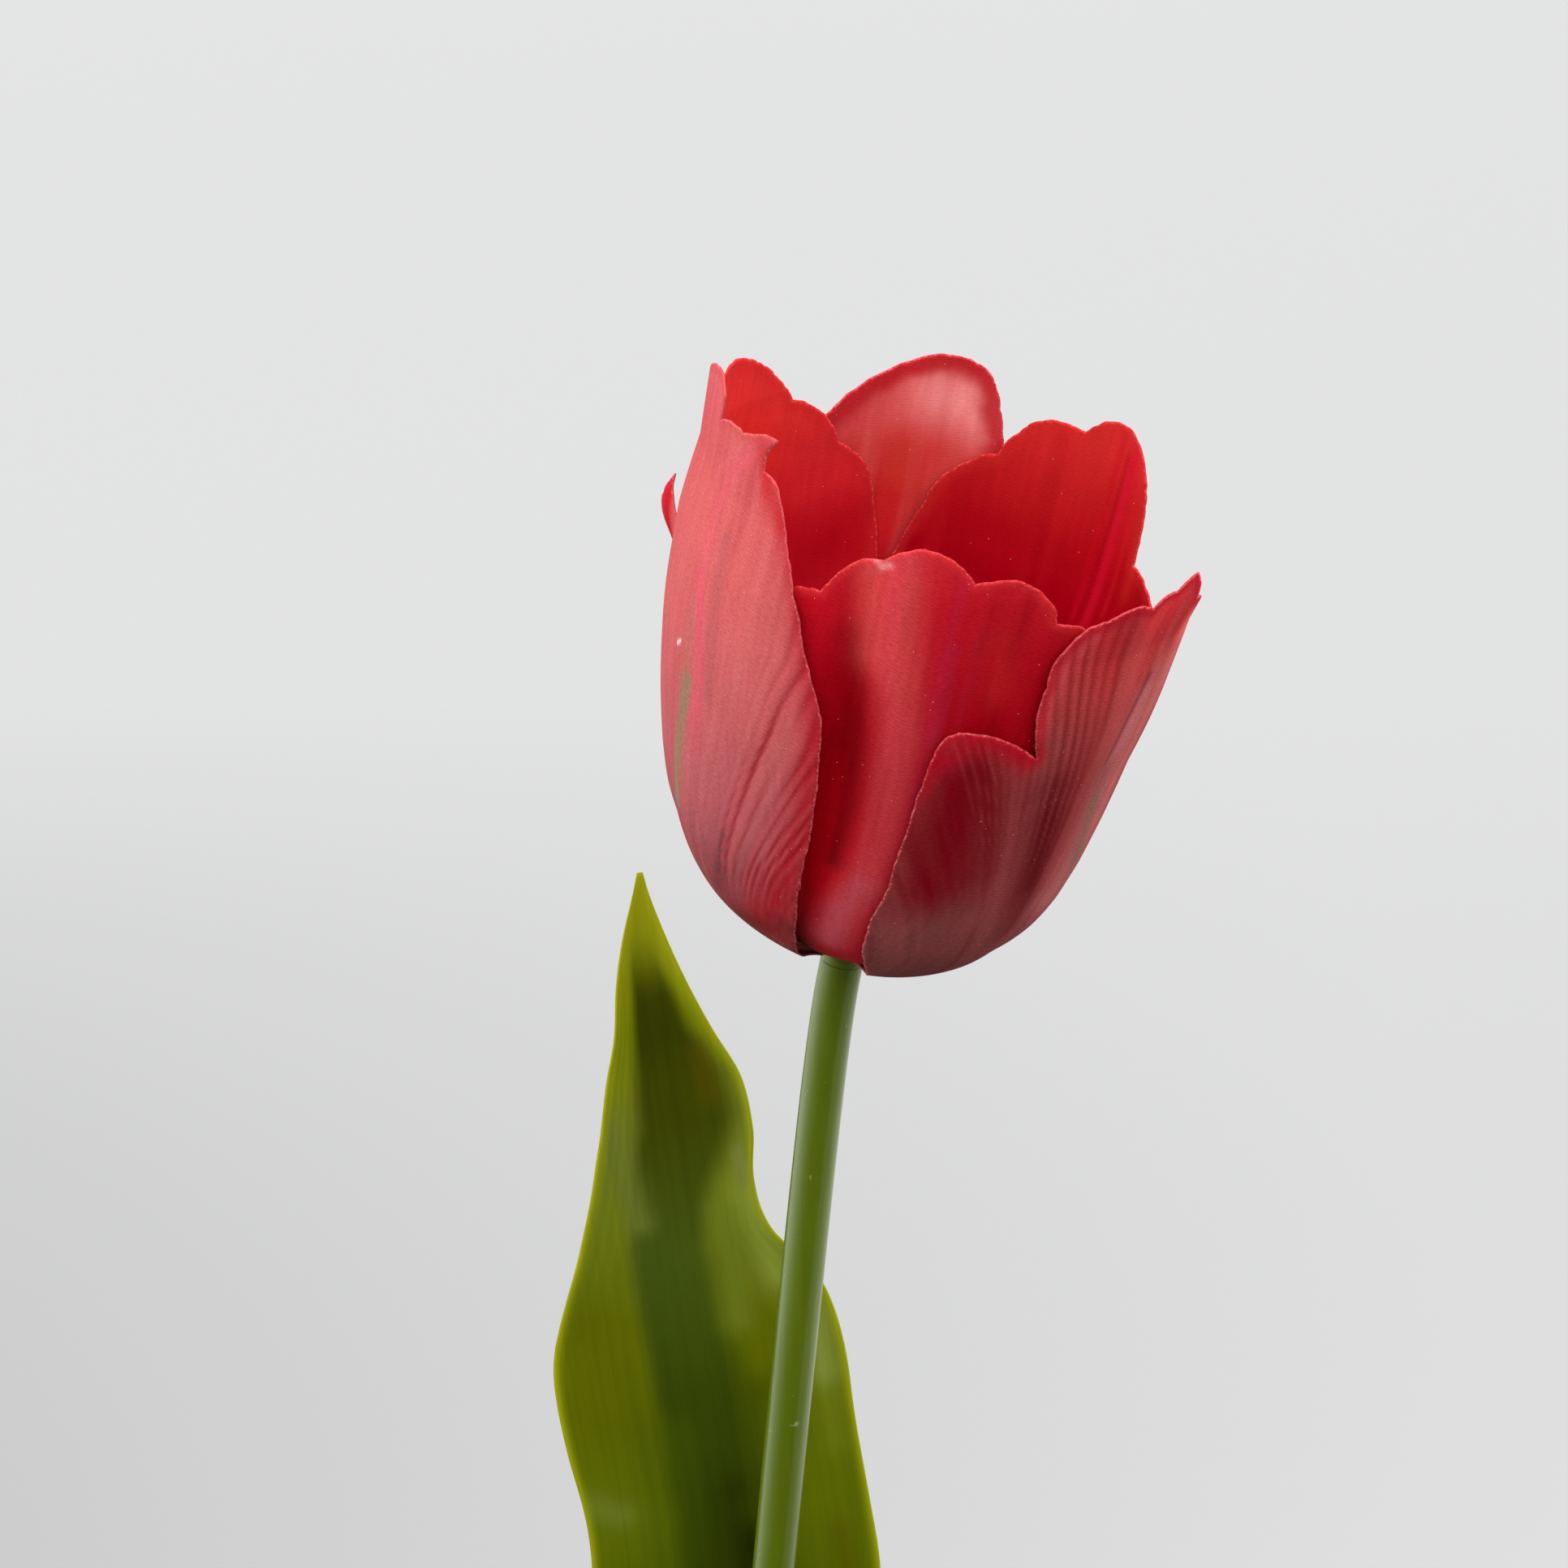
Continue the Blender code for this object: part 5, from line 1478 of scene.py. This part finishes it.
def build_collar(finish):
    """The tube at the leaf's foot, with a flared lower rim and a parting line."""
    bore = STEM_DIAMETER / 2 + RUNNING_GAP
    outer = bore + COLLAR_WALL
    half = COLLAR_LENGTH / 2
    corners = ((outer - 0.5 * MM, -half), (outer, -half + 0.8 * MM), (outer - 0.05 * MM, 0),
               (outer, half - 0.4 * MM), (outer - 0.2 * MM, half), (bore, half), (bore, -half))

    def texture(around, radius, height):
        ripple = 0.04 * MM * rough_noise(around * 3, height / MM / 3, COLLAR_SEED)
        made = two_lines(around, COLLAR_SEAM) + ripple
        return made * (radius > bore + 0.3 * MM)

    profile = []
    for start, end in zip(corners, (*corners[1:], corners[0])):
        start, end = np.array(start), np.array(end)
        profile += [start + (end - start) * share for share in COLLAR_SHARES]
    lathe("leaf_collar_tube", profile, finish, texture, "leaf_base", "leaf_collar",
          COLLAR_CENTRE, COLLAR_TURN, closed=True)


# Floor, light and camera


CAMERA_PLACE = (0.0162, -0.89075, 0.57657)
CAMERA_TILT = math.radians(80)
CAMERA_LENS = 167.70
CAMERA_SENSOR = 36
FLOOR_SIZE = 120
FLOOR_DROP = 0.6 * MM
BACKDROP = (228, 229, 229)
SKY_STRENGTH = 3.0
SKY_SPREAD = math.radians(90)
SKY_TURN = (math.radians(46), math.radians(4), 0)
BOX_TARGET = (0.02, 0, 0.4)
SOFT_BOXES = (  # place, size and watts
    ("left_box", (-0.75, 0, 0.56), (0.8, 0.8), 5.4),
    ("right_box", (0.72, 0.38, 0.56), (0.6, 0.8), 5.0),
)


def build_floor():
    """A wide pale floor with painted shade: darker round the stem's foot and to its left."""
    made, tree = graph("pale_floor")
    place = object_place(tree)
    parts = add(tree, "SeparateXYZ", {0: place})
    away = calc(tree, "ABSOLUTE", parts.outputs[1])
    # painted shade: darker near the stem's foot and to the left
    near, right = (0.256, 0.256, 0.257), (0.356, 0.357, 0.357)
    colour = tinted(tree, near, right, parts.outputs[0], -0.3, 0.25)
    colour = tinted(tree, colour, (0.384, 0.385, 0.386), away, 0.9, 2.6)
    colour = tinted(tree, colour, (0.388, 0.389, 0.39), away, 2.0, 8.0)
    colour = tinted(tree, colour, (0.3, 0.3, 0.3), noise(tree, place, 60), 0.3, 0.7, 0.02)
    seen = add(tree, "BsdfDiffuse", {"Color": colour, "Roughness": 0.4}).outputs[0]
    bounced = add(tree, "BsdfDiffuse", {"Color": (0.14, 0.14, 0.14, 1)}).outputs[0]
    path = add(tree, "LightPath").outputs["Is Camera Ray"]
    add(tree, "OutputMaterial", {"Surface": over(tree, path, bounced, seen)})
    bpy.ops.mesh.primitive_plane_add(size=FLOOR_SIZE, location=(0, 0, -FLOOR_DROP))
    floor = bpy.context.object
    floor.name = "floor"
    floor.data.materials.append(made)
    floor.visible_glossy = False


def build_world():
    """Even daylight, with two bright sides for the plastic's sheen and a plain backdrop."""
    world = bpy.data.worlds.new("soft_daylight")
    scene.world = world
    world.use_nodes = True
    world.cycles.sampling_method = "NONE"
    tree = world.node_tree
    tree.nodes.clear()

    def glow(strength, colour=(1, 1, 1)):
        inputs = {"Color": (*colour, 1), "Strength": strength}
        return add(tree, "Background", inputs).outputs[0]

    way = add(tree, "SeparateXYZ", {0: add(tree, "TexCoord").outputs["Generated"]})
    aside = spread_out(tree, calc(tree, "ABSOLUTE", way.outputs[0]), 0.35, 1, 0, 0.6)
    above = spread_out(tree, way.outputs[2], 0.0, 0.9, 0, 0.5)
    righter = spread_out(tree, way.outputs[0], -0.2, 1, 0, 0.5)
    fill = calc(tree, "ADD", calc(tree, "ADD", aside, above), calc(tree, "ADD", righter, 0.55))
    rise = spread_out(tree, way.outputs[0], -0.3, 0.3, -0.92, -0.8)
    backward = calc(tree, "SUBTRACT", way.outputs[1], rise)
    sides = spread_out(tree, backward, 0, 1, 0.0, 2.5)
    behind = spread_out(tree, way.outputs[1], 0.4, 0.95, 0, 1.3)
    upper = spread_out(tree, way.outputs[2], -0.48, -0.22, 0.3, 1)
    windows = calc(tree, "MULTIPLY", calc(tree, "SUBTRACT", sides, behind), upper)
    path = add(tree, "LightPath")
    lit = over(tree, path.outputs["Is Glossy Ray"], glow(fill), glow(windows))
    seen = glow(1.0, colour_of(*BACKDROP))
    shader = over(tree, path.outputs["Is Camera Ray"], lit, seen)
    add(tree, "OutputWorld", {"Surface": shader})


def lamp(name, kind, strength):
    """A lamp that shows in no mirror image, and its holder."""
    made = bpy.data.lights.new(name, kind)
    made.energy = strength
    holder = linked(name, made)
    holder.visible_glossy = False
    return made, holder


def build_lights():
    """A wide sky from the front and above, and a soft box on each side."""
    sky, holder = lamp("sky_panel", "SUN", SKY_STRENGTH)
    sky.angle = SKY_SPREAD
    holder.rotation_euler = SKY_TURN
    for name, place, size, watts in SOFT_BOXES:
        box, holder = lamp(name, "AREA", watts)
        box.shape = "RECTANGLE"
        box.size, box.size_y = size
        holder.location = place
        way = Vector(BOX_TARGET) - Vector(place)
        holder.rotation_euler = way.to_track_quat("-Z", "Y").to_euler()
        holder.visible_camera = False


def build_camera():
    """A long lens that looks slightly down at the flower."""
    lens = bpy.data.cameras.new("camera")
    lens.lens = CAMERA_LENS
    lens.sensor_width = CAMERA_SENSOR
    lens.dof.use_dof = False
    camera = linked("camera", lens)
    camera.location = CAMERA_PLACE
    camera.rotation_euler = (CAMERA_TILT, 0, 0)
    scene.camera = camera


def main():
    scene.view_settings.view_transform = "Standard"
    build_camera()
    build_world()
    build_lights()
    build_floor()
    outer_cloth = cloth_material("outer_petal_twill", 0.22, colour_of(238, 120, 122))
    inner_cloth = cloth_material("inner_petal_twill", 0.25, colour_of(232, 96, 92))
    for node, petal in PETALS.items():
        build_petal(node, petal, outer_cloth if petal["layer"] == 0 else inner_cloth)
    leaf_green = leaf_material()
    build_stem(stem_material("moulded_stem"), wire_material())
    build_leaf(leaf_green)
    build_collar(plain_plastic("collar_plastic", (56, 70, 1), (76, 91, 4), 0.42, 300))
    build_core(stem_material("moulded_core"))
    build_pistil(plain_plastic("pistil_plastic", (150, 158, 84), (188, 190, 122), 0.55, 600))
    anther = plain_plastic("stamen_powder", (26, 18, 20), (58, 42, 40), 0.75, 1500, 0.8)
    for number in range(1, STAMENS + 1):
        build_stamen(number, anther)


main()
